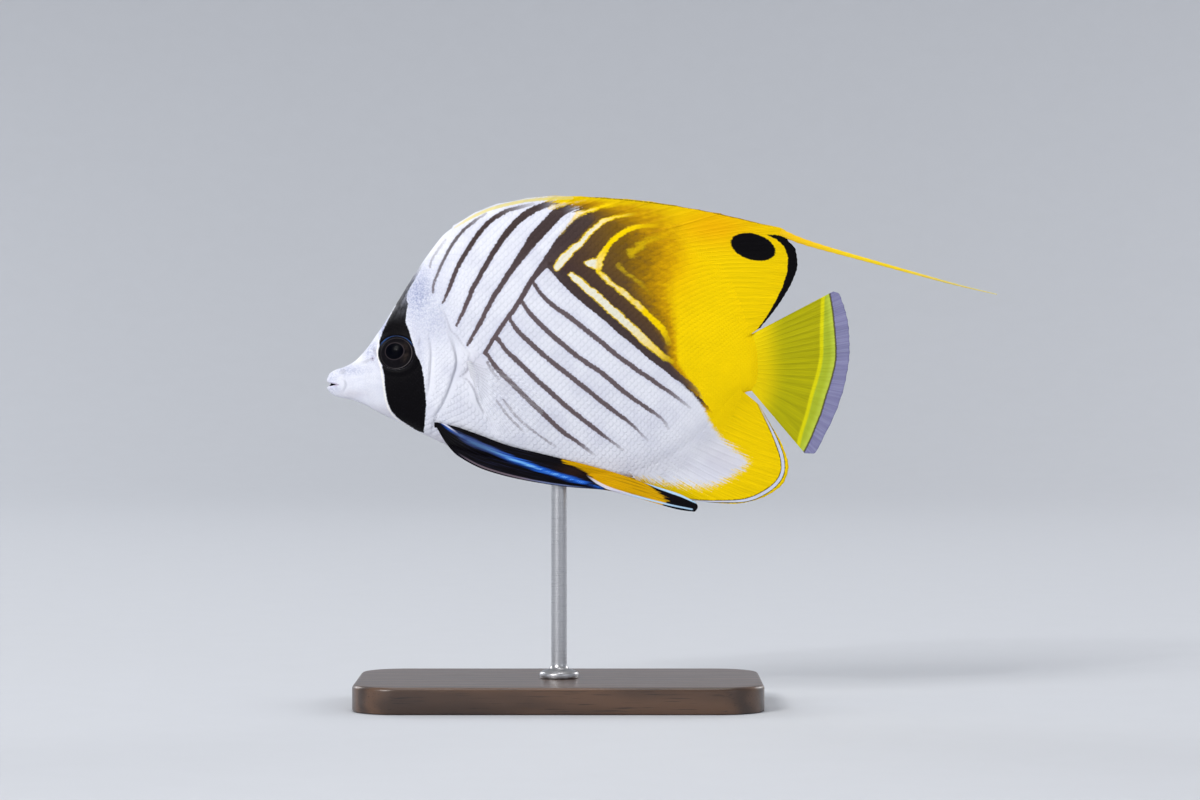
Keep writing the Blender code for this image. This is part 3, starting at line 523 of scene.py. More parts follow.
    def black_parts(self, places: Array) -> tuple[Array, Array]:
        """Measures the eye band, the false eye spot, the fin's dark margin and the inked lines.

        Args:
            places: Rows of x and z.

        Returns:
            The distance inside the nearest black part, and that part's strength.
        """
        band = inside_outline([*self.eye_band_front, *self.eye_band_rear], places)
        turn = math.radians(self.spot_tilt_deg)
        gap = (places - chart([self.spot_middle])[0]) / CHART_UNIT
        along = gap[:, 0] * math.cos(turn) - gap[:, 1] * math.sin(turn)
        across = gap[:, 0] * math.sin(turn) + gap[:, 1] * math.cos(turn)
        rim = oval(along, across, (0.0, 0.0), self.spot_radii)
        spot = np.clip((1 - rim) * min(self.spot_radii) * CHART_UNIT, -LAYER_LIMIT, LAYER_LIMIT)
        ink, power, _ = strongest(self.ink_lines, places)
        frame, frame_power, _ = self.anal_band.measure(places)
        parts = (
            (band, Curve(self.eye_band_fade)(places[:, 1])),
            (spot, 1.0),
            (inside_outline(self.dorsal_margin, places), 1.0),
            (ink, power),
            (frame + self.frame_widening, frame_power * self.frame_strength),
        )
        score = np.full(len(places), -np.inf)
        edge, fade = np.zeros(len(places)), np.zeros(len(places))
        for depth, strength in parts:
            cover = strength * smoothstep(depth, -0.2, 0.2) + 0.001 * depth
            wins = cover > score
            score = np.where(wins, cover, score)
            edge = np.where(wins, depth, edge)
            fade = np.where(wins, strength, fade)
        return np.clip(edge, -LAYER_LIMIT, LAYER_LIMIT), fade

    def paint(self, x: Array, z: Array) -> dict[str, Array]:
        """Reads every layer at places of the flank.

        Args:
            x: Distances back from the snout, in millimetres.
            z: Heights over the mouth line, in millimetres.

        Returns:
            The value of each layer at each place, by the layer's name.
        """
        places = np.stack([np.ravel(x), np.ravel(z)], axis=1)
        height = places[:, 1]
        stripe, stripe_fade, inky = strongest([*self.rising_stripes, *self.falling_stripes], places)
        gold, gold_fade, cream = strongest(self.chevrons, places)
        lemon, lemon_fade, lemon_tone = strongest(self.fringes, places)
        pale, pale_fade, _ = strongest([self.anal_band, self.dorsal_rim], places)
        crease, crease_fade, _ = strongest(self.crease_shades_and_smudges, places)
        black, black_fade = self.black_parts(places)
        distance, share, side = nearest_on(smooth_line(chart(self.brown_edge)), places)
        brown = np.clip(0.5 - side * distance / (2 * Curve(self.brown_softness)(share)), 0, 1)
        across, up = ((places - chart([self.umber_middle])[0]) / CHART_UNIT).T
        slant = up * np.where(up > 0, *self.umber_slopes)
        warm_edge = Curve(self.warm_softness)(height)
        return {
            Layer.STRIPE: stripe,
            Layer.STRIPE_FADE: stripe_fade,
            Layer.STRIPE_DARK: np.maximum(np.clip((height - 22) / 22, 0, 1), inky),
            Layer.WARM: inside_outline(self.warm_outline, places, warm_edge),
            Layer.BROWN: brown * smoothstep(height, *self.brown_floor),
            Layer.ORANGE: glow(self.oranges, places),
            Layer.GOLD: gold,
            Layer.GOLD_FADE: gold_fade,
            Layer.CREAM: cream,
            Layer.LEMON: lemon,
            Layer.LEMON_FADE: lemon_fade,
            Layer.LEMON_TONE: lemon_tone,
            Layer.BLACK: black,
            Layer.BLACK_FADE: black_fade,
            Layer.PALE: pale,
            Layer.PALE_FADE: pale_fade,
            Layer.CREASE: crease,
            Layer.CREASE_FADE: crease_fade,
            Layer.SHADE: glow(self.shades, places),
            Layer.COOL: glow(self.painted_blue_light_spots, places),
            Layer.UMBER: np.clip((across + slant) / self.umber_reach, 0, 1) ** 1.6,
        }


class Value:
    """A number or colour that a material's nodes work out, open to plain sums."""

    def __init__(self, graph: Graph, socket: bpy.types.NodeSocket) -> None:
        """Wraps a node's output.

        Args:
            graph: The graph that further sums join.
            socket: The output.
        """
        self.graph, self.socket = graph, socket

    def __add__(self, other: Number) -> Value:
        """Adds a number or a value."""
        return self.graph.math("ADD", self, other)

    def __sub__(self, other: Number) -> Value:
        """Takes away a number or a value."""
        return self.graph.math("SUBTRACT", self, other)

    def __rsub__(self, other: float) -> Value:
        """Takes this value away from a number."""
        return self.graph.math("SUBTRACT", other, self)

    def __mul__(self, other: Number) -> Value:
        """Multiplies by a number or a value."""
        return self.graph.math("MULTIPLY", self, other)


Number = Value | float
Tone = Value | float | tuple[float, ...]


class Graph:
    """A material's node tree, with short calls for the nodes that the finishes need."""

    def __init__(self, name: str) -> None:
        """Starts an empty tree round one shader.

        Args:
            name: The material's name.
        """
        self.material = bpy.data.materials.new(name)
        self.material.use_nodes = True
        self.tree = self.material.node_tree
        self.shader = self.tree.nodes["Principled BSDF"]
        self.object_place = Value(self, self.node("ShaderNodeTexCoord").outputs["Object"])

    def node(self, kind: str, **settings: object) -> bpy.types.Node:
        """Adds a node.

        Args:
            kind: The node's type.
            settings: Properties to set on it.

        Returns:
            The node.
        """
        node = self.tree.nodes.new(kind)
        for key, value in settings.items():
            setattr(node, key, value)
        return node

    def feed(self, socket: bpy.types.NodeSocket, value: Tone) -> None:
        """Links a value to an input, or sets the input's own value.

        Args:
            socket: The input.
            value: A value of the graph, a number, a vector or a colour.
        """
        if isinstance(value, Value):
            self.tree.links.new(value.socket, socket)
        elif socket.type == "RGBA":
            socket.default_value = (*value, 1.0)
        else:
            socket.default_value = value

    def set(self, node: bpy.types.Node, output: int | str = 0, **inputs: Tone) -> Value:
        """Feeds a node's inputs and reads one of its outputs.

        Args:
            node: The node.
            output: The output's number or name.
            inputs: What each input gets, by its name, with _ for a space.

        Returns:
            The output.
        """
        for key, value in inputs.items():
            self.feed(node.inputs[key.replace("_", " ")], value)
        return Value(self, node.outputs[output])

    def layer(self, name: str) -> Value:
        """Reads one of the mesh's own layers."""
        return Value(self, self.node("ShaderNodeAttribute", attribute_name=name).outputs["Fac"])

    def math(self, operation: str, *values: Number) -> Value:
        """Does a sum.

        Args:
            operation: The sum's name.
            values: Its numbers or values.

        Returns:
            The result.
        """
        node = self.node("ShaderNodeMath", operation=operation)
        for socket, value in zip(node.inputs, values):
            self.feed(socket, value)
        return Value(self, node.outputs[0])

    def place(self, scale: tuple[float, float, float]) -> Value:
        """Object coordinates, stretched by a scale of their own on each axis."""
        return self.set(self.node("ShaderNodeMapping"), Vector=self.object_place, Scale=scale)

    def noise(self, scale: float, detail: float = 3.0, at: Value | None = None) -> Value:
        """Reads soft noise.

        Args:
            scale: Its grains per metre, or per unit of the place that it is read at.
            detail: How many finer octaves it has.
            at: Where it is read, or None for Object coordinates.

        Returns:
            The noise, about 0.5 on average.
        """
        node = self.node("ShaderNodeTexNoise")
        return self.set(node, Vector=at or self.object_place, Scale=scale, Detail=detail)

    def streaks(self, lane: str, across: float, along: float) -> Value:
        """Reads noise that is drawn out along the rays of a fin.

        Args:
            lane: The layer that counts across the fin.
            across: Grains for each unit of that layer.
            along: Grains from the root to the tip.

        Returns:
            The noise.
        """
        place = self.node("ShaderNodeCombineXYZ")
        at = self.set(place, X=self.layer(lane) * across, Y=self.layer("reach") * along)
        return self.noise(1.0, 4.0, at)

    def step(self, value: Value, low: float, high: float) -> Value:
        """Eases a value from 0 at low to 1 at high."""
        node = self.node("ShaderNodeMapRange", interpolation_type="SMOOTHSTEP")
        return self.set(node, Value=value, From_Min=low, From_Max=high)

    def mix(self, share: Number, first: Tone, second: Tone) -> Value:
        """Mixes two colours.

        Args:
            share: How much of the second colour shows.
            first: The colour at 0.
            second: The colour at 1.

        Returns:
            The mixed colour.
        """
        node = self.node("ShaderNodeMix", data_type="RGBA")
        for number, value in zip(MIX_INPUTS, (share, first, second)):
            self.feed(node.inputs[number], value)
        return Value(self, node.outputs[MIX_OUTPUT])

    def bump(self, height: Value, depth: float, strength: float = 1.0) -> None:
        """Raises the surface by a height.

        Args:
            height: The height, from 0 to 1.
            depth: What 1 stands for, in metres.
            strength: How much of it shows.
        """
        node = self.node("ShaderNodeBump")
        normal = self.set(node, Strength=strength, Distance=depth, Height=height)
        self.feed(self.shader.inputs["Normal"], normal)

    def finish(self, colour: Tone, roughness: Number, **constants: Tone) -> bpy.types.Material:
        """Sets the shader's inputs.

        Args:
            colour: The base colour.
            roughness: The roughness.
            constants: Other inputs by name, with _ for a space.

        Returns:
            The finished material.
        """
        self.set(self.shader, Base_Color=colour, Roughness=roughness, **constants)
        return self.material


@dataclass(frozen=True)
class FleshFinish:
    """Satin flesh with all of the flank's markings, its painted shade and its painted bluish light, for
    skin, scales and the patterned fins.
    """

    name: str
    grain_depth: float = 0.00006
    streaked: bool = False
    ray_depth: float = 0.00010
    white: Colour = (0.85, 0.86, 0.93)
    white_deep: Colour = (0.76, 0.77, 0.86)
    rim_grey: Colour = (0.56, 0.57, 0.66)
    rim_strength: float = 0.24
    pinkish_shade: Colour = (0.44, 0.39, 0.44)
    cool: Colour = (0.33, 0.37, 0.56)
    crease_shade_and_smudge_grey: Colour = (0.16, 0.15, 0.20)
    stripe: Colour = (0.128, 0.094, 0.100)
    stripe_upper: Colour = (0.062, 0.042, 0.041)
    # Painted shade beside the stripes.
    painted_stripe_shade: Colour = (0.46, 0.46, 0.66)
    yellow: Colour = (1.0, 0.69, 0.0)
    yellow_deep: Colour = (0.82, 0.57, 0.0)
    orange: Colour = (0.90, 0.43, 0.0)
    golden: Colour = (0.64, 0.34, 0.001)
    amber: Colour = (0.36, 0.185, 0.003)
    brown: Colour = (0.066, 0.039, 0.034)
    brown_gold: Colour = (0.190, 0.100, 0.008)
    cream: Colour = (0.86, 0.83, 0.68)
    lemon: Colour = (0.80, 0.68, 0.20)
    milk: Colour = (0.94, 0.92, 0.88)
    black: Colour = (0.0032, 0.0027, 0.0038)
    lilac: Colour = (0.62, 0.66, 0.80)
    roughness: float = 0.46
    edge: tuple[float, float] = (-0.15, 0.15)

    def warm_colour(self, g: Graph, speckle: Value, streak: Value) -> Value:
        """Mixes the yellow rear, its orange glow and the brown saddle.

        Args:
            g: The material's graph.
            speckle: Noise at the scale of the small scales.
            streak: Noise drawn out along the fins' rays.

        Returns:
            The colour of the warm part of the flank.
        """
        depth = g.step(streak, 0.3, 0.75) * (0.75 if self.streaked else 0.3)
        if self.streaked:
            depth = g.layer("reach") * 0.45 + depth
        yellow = g.mix(depth, self.yellow, self.yellow_deep)
        yellow = g.mix(g.layer(Layer.ORANGE) * 0.75, yellow, self.orange)
        brown = g.layer(Layer.BROWN)
        level = brown * (1.0 - brown) * ((speckle - 0.5) * 2.2) + brown
        toned = g.mix(g.step(level, 0.02, 0.42), yellow, self.golden)
        toned = g.mix(g.step(level, 0.28, 0.68), toned, self.amber)
        deep = g.mix(g.layer(Layer.UMBER), self.brown, self.brown_gold)
        deep = g.mix(g.step(speckle, 0.5, 0.8) * 0.35, deep, self.brown)
        return g.mix(g.step(level, 0.52, 0.95), toned, deep)

    def material(self) -> bpy.types.Material:
        """Builds the material, from the white flank up to the black and pale lines over it.

        Returns:
            The material.
        """
        g = Graph(self.name)
        fine = g.noise(1400.0, 3.0)
        speckle = g.noise(620.0, 4.0, g.place((0.6, 1.0, 1.5)))
        broad = g.noise(120.0, 2.0)
        streak = g.streaks("lane", 5.0, 1.6) if self.streaked else broad
        ragged = fine - 0.5

        colour = g.mix(g.step(broad, 0.35, 0.7), self.white, self.white_deep)
        colour = g.mix(g.layer("rim") * self.rim_strength, colour, self.rim_grey)
        # Painted bluish light from the surroundings, broken up by a fine grain.
        grain = g.step(g.noise(2000.0, 3.0), 0.34, 0.66) * 0.9 + 0.45
        colour = g.mix(g.layer(Layer.COOL) * grain, colour, self.cool)
        stripe = ragged * 0.75 + g.layer(Layer.STRIPE)
        fade = g.layer(Layer.STRIPE_FADE)
        # Painted shade: a soft bluish-grey band on the white just outside each stripe.
        colour = g.mix(g.step(stripe, -1.1, 0.1) * (fade * 0.30), colour, self.painted_stripe_shade)
        ink = g.mix(g.layer(Layer.STRIPE_DARK), self.stripe, self.stripe_upper)
        white = g.mix(g.step(stripe, *self.edge) * fade, colour, ink)
        # Painted shade with a pinkish tone.
        white = g.mix(g.layer(Layer.SHADE), white, self.pinkish_shade)
        # Painted shade in creases and recesses, with a few olive-grey smudges.
        crease = g.step(g.layer(Layer.CREASE), -0.35, 0.25) * g.layer(Layer.CREASE_FADE)
        white = g.mix(crease, white, self.crease_shade_and_smudge_grey)

        warm = ragged * 1.2 + g.layer(Layer.WARM)
        if self.streaked:
            warm = (streak - 0.5) * 2.6 + warm
        colour = g.mix(g.step(warm, -0.45, 0.40), white, self.warm_colour(g, speckle, streak))
        colour = g.mix(g.step(stripe, -0.2, 0.25) * (fade * 0.85), colour, ink)
        gold = (speckle - 0.5) * 1.3 + (ragged * 0.45 + g.layer(Layer.GOLD))
        core = g.layer(Layer.CREAM) * g.step(gold, 0.04, 0.42)
        shine = g.mix(core, self.yellow, self.cream)
        colour = g.mix(g.step(gold, -0.34, 0.28) * g.layer(Layer.GOLD_FADE), colour, shine)
        lemon = g.step(ragged * 0.4 + g.layer(Layer.LEMON), *self.edge)
        fringe = g.mix(g.layer(Layer.LEMON_TONE), self.lemon, self.milk)
        colour = g.mix(lemon * g.layer(Layer.LEMON_FADE), colour, fringe)

        strength = g.layer(Layer.BLACK_FADE)
        hairs = g.noise(900.0, 4.0, g.place((1.0, 1.0, 0.45)))
        strength = strength * (1.0 - strength) * ((hairs - 0.5) * 3.6) + strength
        black = g.step(ragged * 0.6 + g.layer(Layer.BLACK), -0.14, 0.14)
        cover = black * g.math("MAXIMUM", strength, 0.0)
        colour = g.mix(g.math("MINIMUM", cover, 1.0), colour, self.black)
        pale = g.step(g.layer(Layer.PALE), -0.1, 0.1) * g.layer(Layer.PALE_FADE)
        colour = g.mix(pale, colour, self.lilac)
        if self.streaked:
            g.bump(streak * 0.8 + fine * 0.2, self.ray_depth)
        else:
            g.bump(fine, self.grain_depth)
        rough = fine * 0.16 + (self.roughness - 0.08)
        return g.finish(colour, rough, Specular_IOR_Level=0.05, Coat_Weight=0.0)


@dataclass(frozen=True)
class TailFinish:
    """Olive-yellow rayed web with a bright yellow bar and a clear rear edge, painted a bluish grey as the
    surroundings seen through it.
    """

    name: str = "tail_web"
    web: Colour = (0.43, 0.40, 0.003)
    web_bright: Colour = (0.51, 0.47, 0.002)
    root: Colour = (0.88, 0.66, 0.0)
    ray: Colour = (0.27, 0.25, 0.002)
    bar: Colour = (0.42, 0.50, 0.028)
    bar_front: Colour = (0.78, 0.72, 0.003)
    bar_rear: Colour = (0.56, 0.66, 0.07)
    line: Colour = (0.060, 0.042, 0.028)
    veil: Colour = (0.21, 0.20, 0.40)
    veil_ray: Colour = (0.36, 0.36, 0.58)
    clearness: float = 0.30
    ray_depth: float = 0.00008

    def material(self) -> bpy.types.Material:
        """Builds the material, from the root back to the clear edge.

        Returns:
            The material.
        """
        g = Graph(self.name)
        streak = g.streaks("lane", 7.0, 1.4)
        fine = g.noise(1800.0, 2.0)
        ray, ahead, behind = g.layer("ray"), g.layer("bar"), g.layer("veil")
        web = g.mix(g.step(streak, 0.38, 0.68), self.web, self.web_bright)
        web = g.mix(ray * 0.45, web, self.ray)
        web = g.mix(g.step(g.layer("root"), 0.0, 1.0), web, self.root)
        bar = g.mix(g.step(behind, -2.2, -0.3) * 0.8, self.bar, self.bar_rear)
        bar = g.mix(ray * 0.18, bar, self.ray)
        colour = g.mix(g.step(ahead, 0.5, 1.3), web, bar)
        glint = g.step(ahead, -0.35, 0.3) * g.step(ahead, 1.5, 0.7)
        colour = g.mix(glint * 0.85, colour, self.bar_front)
        edge = (streak - 0.5) * 0.35 + behind
        # The clear rear edge is painted with the bluish light of the surroundings that shows through it.
        fringe = g.mix(g.step(streak, 0.4, 0.66) * 0.5, self.veil, self.veil_ray)
        fringe = g.mix(ray * 0.35, fringe, self.veil_ray)
        colour = g.mix(g.step(edge, 0.05, 0.35), colour, fringe)
        inked = g.step(edge, -0.28, -0.02) * g.step(edge, 0.55, 0.22)
        colour = g.mix(inked * 0.85, colour, self.line)
        alpha = 1.0 - g.step(behind, 0.1, 1.0) * self.clearness
        g.bump(streak * 0.8 + fine * 0.2, self.ray_depth)
        return g.finish(colour, 0.45, Alpha=alpha, Specular_IOR_Level=0.08, Coat_Weight=0.0)


@dataclass(frozen=True)
class ClearFinish:
    """Clear membrane on pale rays, for the pectoral fins."""

    name: str = "clear_fin"
    web: Colour = (0.78, 0.80, 0.88)
    ray: Colour = (0.86, 0.86, 0.90)
    root: Colour = (0.80, 0.80, 0.84)
    web_alpha: float = 0.035
    ray_alpha: float = 0.10
    root_alpha: float = 0.7

    def material(self) -> bpy.types.Material:
        """Builds the material.

        Returns:
            The material.
        """
        g = Graph(self.name)
        ray = g.layer("ray")
        root = g.step(g.layer("reach"), 0.16, 0.0)
        colour = g.mix(root * 0.8, g.mix(ray, self.web, self.ray), self.root)
        solid = root * self.root_alpha + (ray * self.ray_alpha + self.web_alpha)
        g.bump(g.noise(1500.0, 3.0), 0.00004)
        return g.finish(
            colour, 0.35, Alpha=g.math("MINIMUM", solid, 1.0), Specular_IOR_Level=0.25,
            Coat_Weight=0.03, Coat_Roughness=0.2,
        )


@dataclass(frozen=True)
class PelvicFinish:
    """Near-black leaf with a bright blue painted sheen and highlight along its spine, a painted violet
    sheen below it, a yellow rear panel and pale blue edges.
    """

    name: str = "pelvic_leaf"
    black: Colour = (0.0035, 0.0028, 0.0042)
    violet: Colour = (0.022, 0.024, 0.060)
    umber: Colour = (0.030, 0.013, 0.009)
    blue_sheen_dim: Colour = (0.085, 0.12, 0.31)
    blue: Colour = (0.018, 0.14, 0.72)
    blue_sheen_bright: Colour = (0.24, 0.60, 1.0)
    yellow: Colour = (0.72, 0.38, 0.0)
    yellow_deep: Colour = (0.30, 0.17, 0.002)
    ice: Colour = (0.50, 0.74, 0.98)
    pearl: Colour = (0.76, 0.76, 0.92)
    fleshy: Colour = (0.26, 0.20, 0.24)
    slate: Colour = (0.24, 0.30, 0.56)
    ray_depth: float = 0.00010

    def material(self) -> bpy.types.Material:
        """Builds the material, from the black web up to the keel and the pale edges.

        Returns:
            The material.
        """
        g = Graph(self.name)
        streak = g.streaks("strand", 26.0, 7.0)
        fine = g.noise(1500.0, 3.0)
        ragged = streak - 0.5
        # Painted violet sheen in streaks below the spine.
        faint = g.step(streak, 0.48, 0.74) * g.layer("dusk")
        colour = g.mix(faint, self.black, self.violet)
        colour = g.mix(g.layer("warmth") * 0.8, colour, self.umber)
        aged = g.step(streak, 0.45, 0.7) * g.step(g.layer("reach"), 0.55, 0.88)
        gold = g.mix(aged * 0.9, self.yellow, self.yellow_deep)
        colour = g.mix(g.step(ragged * 3.2 + g.layer("yellow"), -0.2, 0.2), colour, gold)
        fringe = g.mix(g.layer("fleshy_tone"), self.fleshy, self.slate)
        fleshy = g.step(g.layer("fleshy"), -0.15, 0.15) * g.layer("fleshy_fade")
        colour = g.mix(fleshy, colour, fringe)
        # Painted sheen along the spine: blue, dimmer in places, with a paler painted highlight on its
        # crest.
        keel, tone = ragged * 1.8 + g.layer("keel"), g.layer("keel_tone")
        glint = g.step(keel, 0.4, 1.1) * (tone * 0.8 + 0.15)
        blue = g.mix(glint, g.mix(tone, self.blue_sheen_dim, self.blue), self.blue_sheen_bright)
        colour = g.mix(g.step(keel, -0.3, 0.6) * g.layer("keel_fade"), colour, blue)
        ice = g.step(g.layer("ice"), -0.12, 0.12) * g.layer("ice_fade")
        colour = g.mix(ice, colour, g.mix(g.layer("ice_tone"), self.ice, self.pearl))
        g.bump(streak * 0.7 + fine * 0.3, self.ray_depth)
        return g.finish(colour, 0.42, Specular_IOR_Level=0.06, Coat_Weight=0.0)


@dataclass(frozen=True)
class ThreadFinish:
    """Golden thread that pales towards its tip."""

    name: str = "golden_thread"
    root: Colour = (0.95, 0.58, 0.001)
    middle: Colour = (0.95, 0.68, 0.008)
    tip: Colour = (0.70, 0.62, 0.22)

    def material(self) -> bpy.types.Material:
        """Builds the material.

        Returns:
            The material.
        """
        g = Graph(self.name)
        run = g.layer("reach")
        grain = g.noise(700.0, 3.0, g.place((0.3, 1.0, 1.0)))
        colour = g.mix(g.step(run, 0.0, 0.35), self.root, self.middle)
        colour = g.mix(g.step(run, 0.45, 1.0), colour, self.tip)
        colour = g.mix(g.step(grain, 0.45, 0.8) * 0.35, colour, self.root)
        g.bump(grain, 0.0001)
        return g.finish(colour, 0.42, Specular_IOR_Level=0.25, Coat_Weight=0.05, Coat_Roughness=0.2)


@dataclass(frozen=True)
class EyeFinish:
    """Wet black eye: a deep pupil, a thin pale ring, a smoky iris and a pale outer rim painted as a
    highlight, brighter at the rear and top, under a clear coat.
    """

    name: str = "wet_eye"
    pupil: Colour = (0.0006, 0.0009, 0.0028)
    ring: Colour = (0.045, 0.035, 0.040)
    iris: Colour = (0.0055, 0.0048, 0.0065)
    iris_smoke: Colour = (0.010, 0.009, 0.011)
    smudge: Colour = (0.052, 0.038, 0.030)
    rim: Colour = (0.12, 0.108, 0.110)

    def material(self) -> bpy.types.Material:
        """Builds the material.

        Returns:
            The material.
        """
        g = Graph(self.name)
        away, out = g.layer("away"), g.layer("out")
        smoke = g.noise(420.0, 4.0)
        colour = g.mix(g.step(smoke, 0.42, 0.75), self.iris, self.iris_smoke)
        colour = g.mix(g.layer("rear") * g.step(smoke, 0.3, 0.65), colour, self.smudge)
        ring = g.step(away, 0.98, 1.03) * g.step(away, 1.15, 1.07)
        colour = g.mix(ring * 0.7, colour, self.ring)
        # Painted highlight: a pale rim round the iris, brighter towards the rear and top.
        rim = g.step(out, 0.900, 0.922) * g.step(out, 0.955, 0.935)
        colour = g.mix(rim * (g.layer("aft") * 0.55 + 0.25), colour, self.rim)
        colour = g.mix(g.step(away, 1.02, 0.97), colour, self.pupil)
        g.bump(g.noise(900.0, 3.0), 0.00002, 0.4)
        return g.finish(
            colour, 0.30, Specular_IOR_Level=0.02, Coat_Weight=0.05, Coat_Roughness=0.02,
            Coat_IOR=1.36,
        )


@dataclass(frozen=True)
class OrbitFinish:
    """Dark ring of skin round the eye, with a painted blue glint along its upper arc."""

    name: str = "orbit_ring"
    dark: Colour = (0.0055, 0.0048, 0.0070)
    grey: Colour = (0.016, 0.014, 0.018)
    blue: Colour = (0.020, 0.085, 0.30)

    def material(self) -> bpy.types.Material:
        """Builds the material.

        Returns:
            The material.
        """
        g = Graph(self.name)
        smoke = g.noise(700.0, 3.0)
        colour = g.mix(g.step(smoke, 0.4, 0.8) * 0.5, self.dark, self.grey)
        # Painted blue glint on the ring's upper arc.
        colour = g.mix(g.layer("blue"), colour, self.blue)
        g.bump(smoke, 0.00005)
        return g.finish(colour, 0.35, Specular_IOR_Level=0.08, Coat_Weight=0.05, Coat_Roughness=0.12)


@dataclass(frozen=True)
class LipFinish:
    """Soft pinkish-white lips."""

    name: str = "soft_lip"
    white: Colour = (0.72, 0.74, 0.90)
    pink: Colour = (0.50, 0.42, 0.52)

    def material(self) -> bpy.types.Material:
        """Builds the material.

        Returns:
            The material.
        """
        g = Graph(self.name)
        mottle = g.noise(800.0, 4.0)
        share = g.step(mottle, 0.4, 0.75) * 0.3 + g.layer("inner")
        colour = g.mix(share, self.white, self.pink)
        g.bump(mottle, 0.00008)
        return g.finish(colour, 0.40, Specular_IOR_Level=0.3, Coat_Weight=0.08, Coat_Roughness=0.15)


@dataclass(frozen=True)
class WalnutFinish:
    """Dark walnut under a satin varnish, with its grain along the base."""

    name: str = "dark_walnut"
    dark: Colour = (0.036, 0.017, 0.009)
    light: Colour = (0.108, 0.053, 0.027)
    pore: Colour = (0.012, 0.006, 0.004)

    def material(self) -> bpy.types.Material:
        """Builds the material.

        Returns:
            The material.
        """
        g = Graph(self.name)
        warp = g.noise(9.0, 3.0, g.place((0.8, 2.0, 2.0)))
        rings = g.set(
            g.node("ShaderNodeTexWave", wave_type="BANDS", bands_direction="Y"), "Fac",
            Vector=g.place((0.22, 1.0, 1.0)), Scale=48.0, Distortion=9.0, Detail=3.0,
            Detail_Scale=0.8,
        )
        figure = warp * 0.45 + rings * 0.6
        colour = g.mix(g.step(figure, 0.1, 1.0), self.dark, self.light)
        pores = g.noise(1.0, 2.0, g.place((90.0, 2600.0, 2600.0)))
        colour = g.mix(g.step(pores, 0.60, 0.72) * 0.7, colour, self.pore)
        g.bump(pores * -0.5 + figure, 0.00005)
        return g.finish(colour, pores * 0.2 + 0.30, Coat_Weight=0.35, Coat_Roughness=0.16)


@dataclass(frozen=True)
class SteelFinish:
    """Steel, turned and brushed round its axis."""

    name: str = "turned_steel"
    bright: Colour = (0.62, 0.62, 0.63)
    dull: Colour = (0.42, 0.42, 0.435)

    def material(self) -> bpy.types.Material:
        """Builds the material.

        Returns:
            The material.
        """
        g = Graph(self.name)
        brush = g.noise(1.0, 3.0, g.place((120.0, 120.0, 5200.0)))
        g.bump(brush, 0.00002, 0.6)
        return g.finish(g.mix(brush, self.dull, self.bright), brush * 0.22 + 0.20, Metallic=1.0)


@dataclass(frozen=True)
class FloorFinish:
    """Plain pale studio floor."""

    name: str = "studio_floor"
    pale: Colour = (0.56, 0.58, 0.62)
    mottle: float = 1.03

    def material(self) -> bpy.types.Material:
        """Builds the material.

        Returns:
            The material.
        """
        g = Graph(self.name)
        lighter = tuple(channel * self.mottle for channel in self.pale)
        return g.finish(g.mix(g.noise(60.0, 3.0), self.pale, lighter), 0.85)


def add_layers(mesh: bpy.types.Mesh, layers: dict[str, Array]) -> None:
    """Writes values onto a mesh's vertices.

    Args:
        mesh: The mesh.
        layers: One value for each vertex, by the layer's name.
    """
    for name, values in layers.items():
        layer = mesh.attributes.get(name) or mesh.attributes.new(name, "FLOAT", "POINT")
        layer.data.foreach_set("value", np.ascontiguousarray(values, np.float32).ravel())


def corners_of(mesh: bpy.types.Mesh) -> Array:
    """Reads a mesh's vertices.

    Args:
        mesh: The mesh.

    Returns:
        Rows of x, y and z in the fish's frame.
    """
    flat = np.empty(len(mesh.vertices) * 3, np.float32)
    mesh.vertices.foreach_get("co", flat)
    return from_world(flat.reshape(-1, 3))


def triangles_of(mesh: bpy.types.Mesh) -> Array:
    """Reads a mesh's triangles.

    Args:
        mesh: The mesh.

    Returns:
        Rows of three corner numbers.
    """
    mesh.calc_loop_triangles()
    index = np.empty(len(mesh.loop_triangles) * 3, np.int32)
    mesh.loop_triangles.foreach_get("vertices", index)
    return index.reshape(-1, 3)


def face_outwards(mesh: bpy.types.Mesh) -> None:
    """Turns a closed mesh's faces outwards, if they all point inwards.

    Args:
        mesh: The mesh, whose faces agree with each other.
    """
    a, b, c = np.moveaxis(corners_of(mesh)[triangles_of(mesh)], 1, 0)
    if np.einsum("ij,ij->", a, np.cross(b, c)) < 0:
        mesh.flip_normals()


def add_object(name: str, data: bpy.types.ID) -> bpy.types.Object:
    """Makes an object of its data and puts it into the scene.

    Args:
        name: The object's name.
        data: Its mesh, light or camera.

    Returns:
        The object.
    """
    thing = bpy.data.objects.new(name, data)
    bpy.context.scene.collection.objects.link(thing)
    return thing


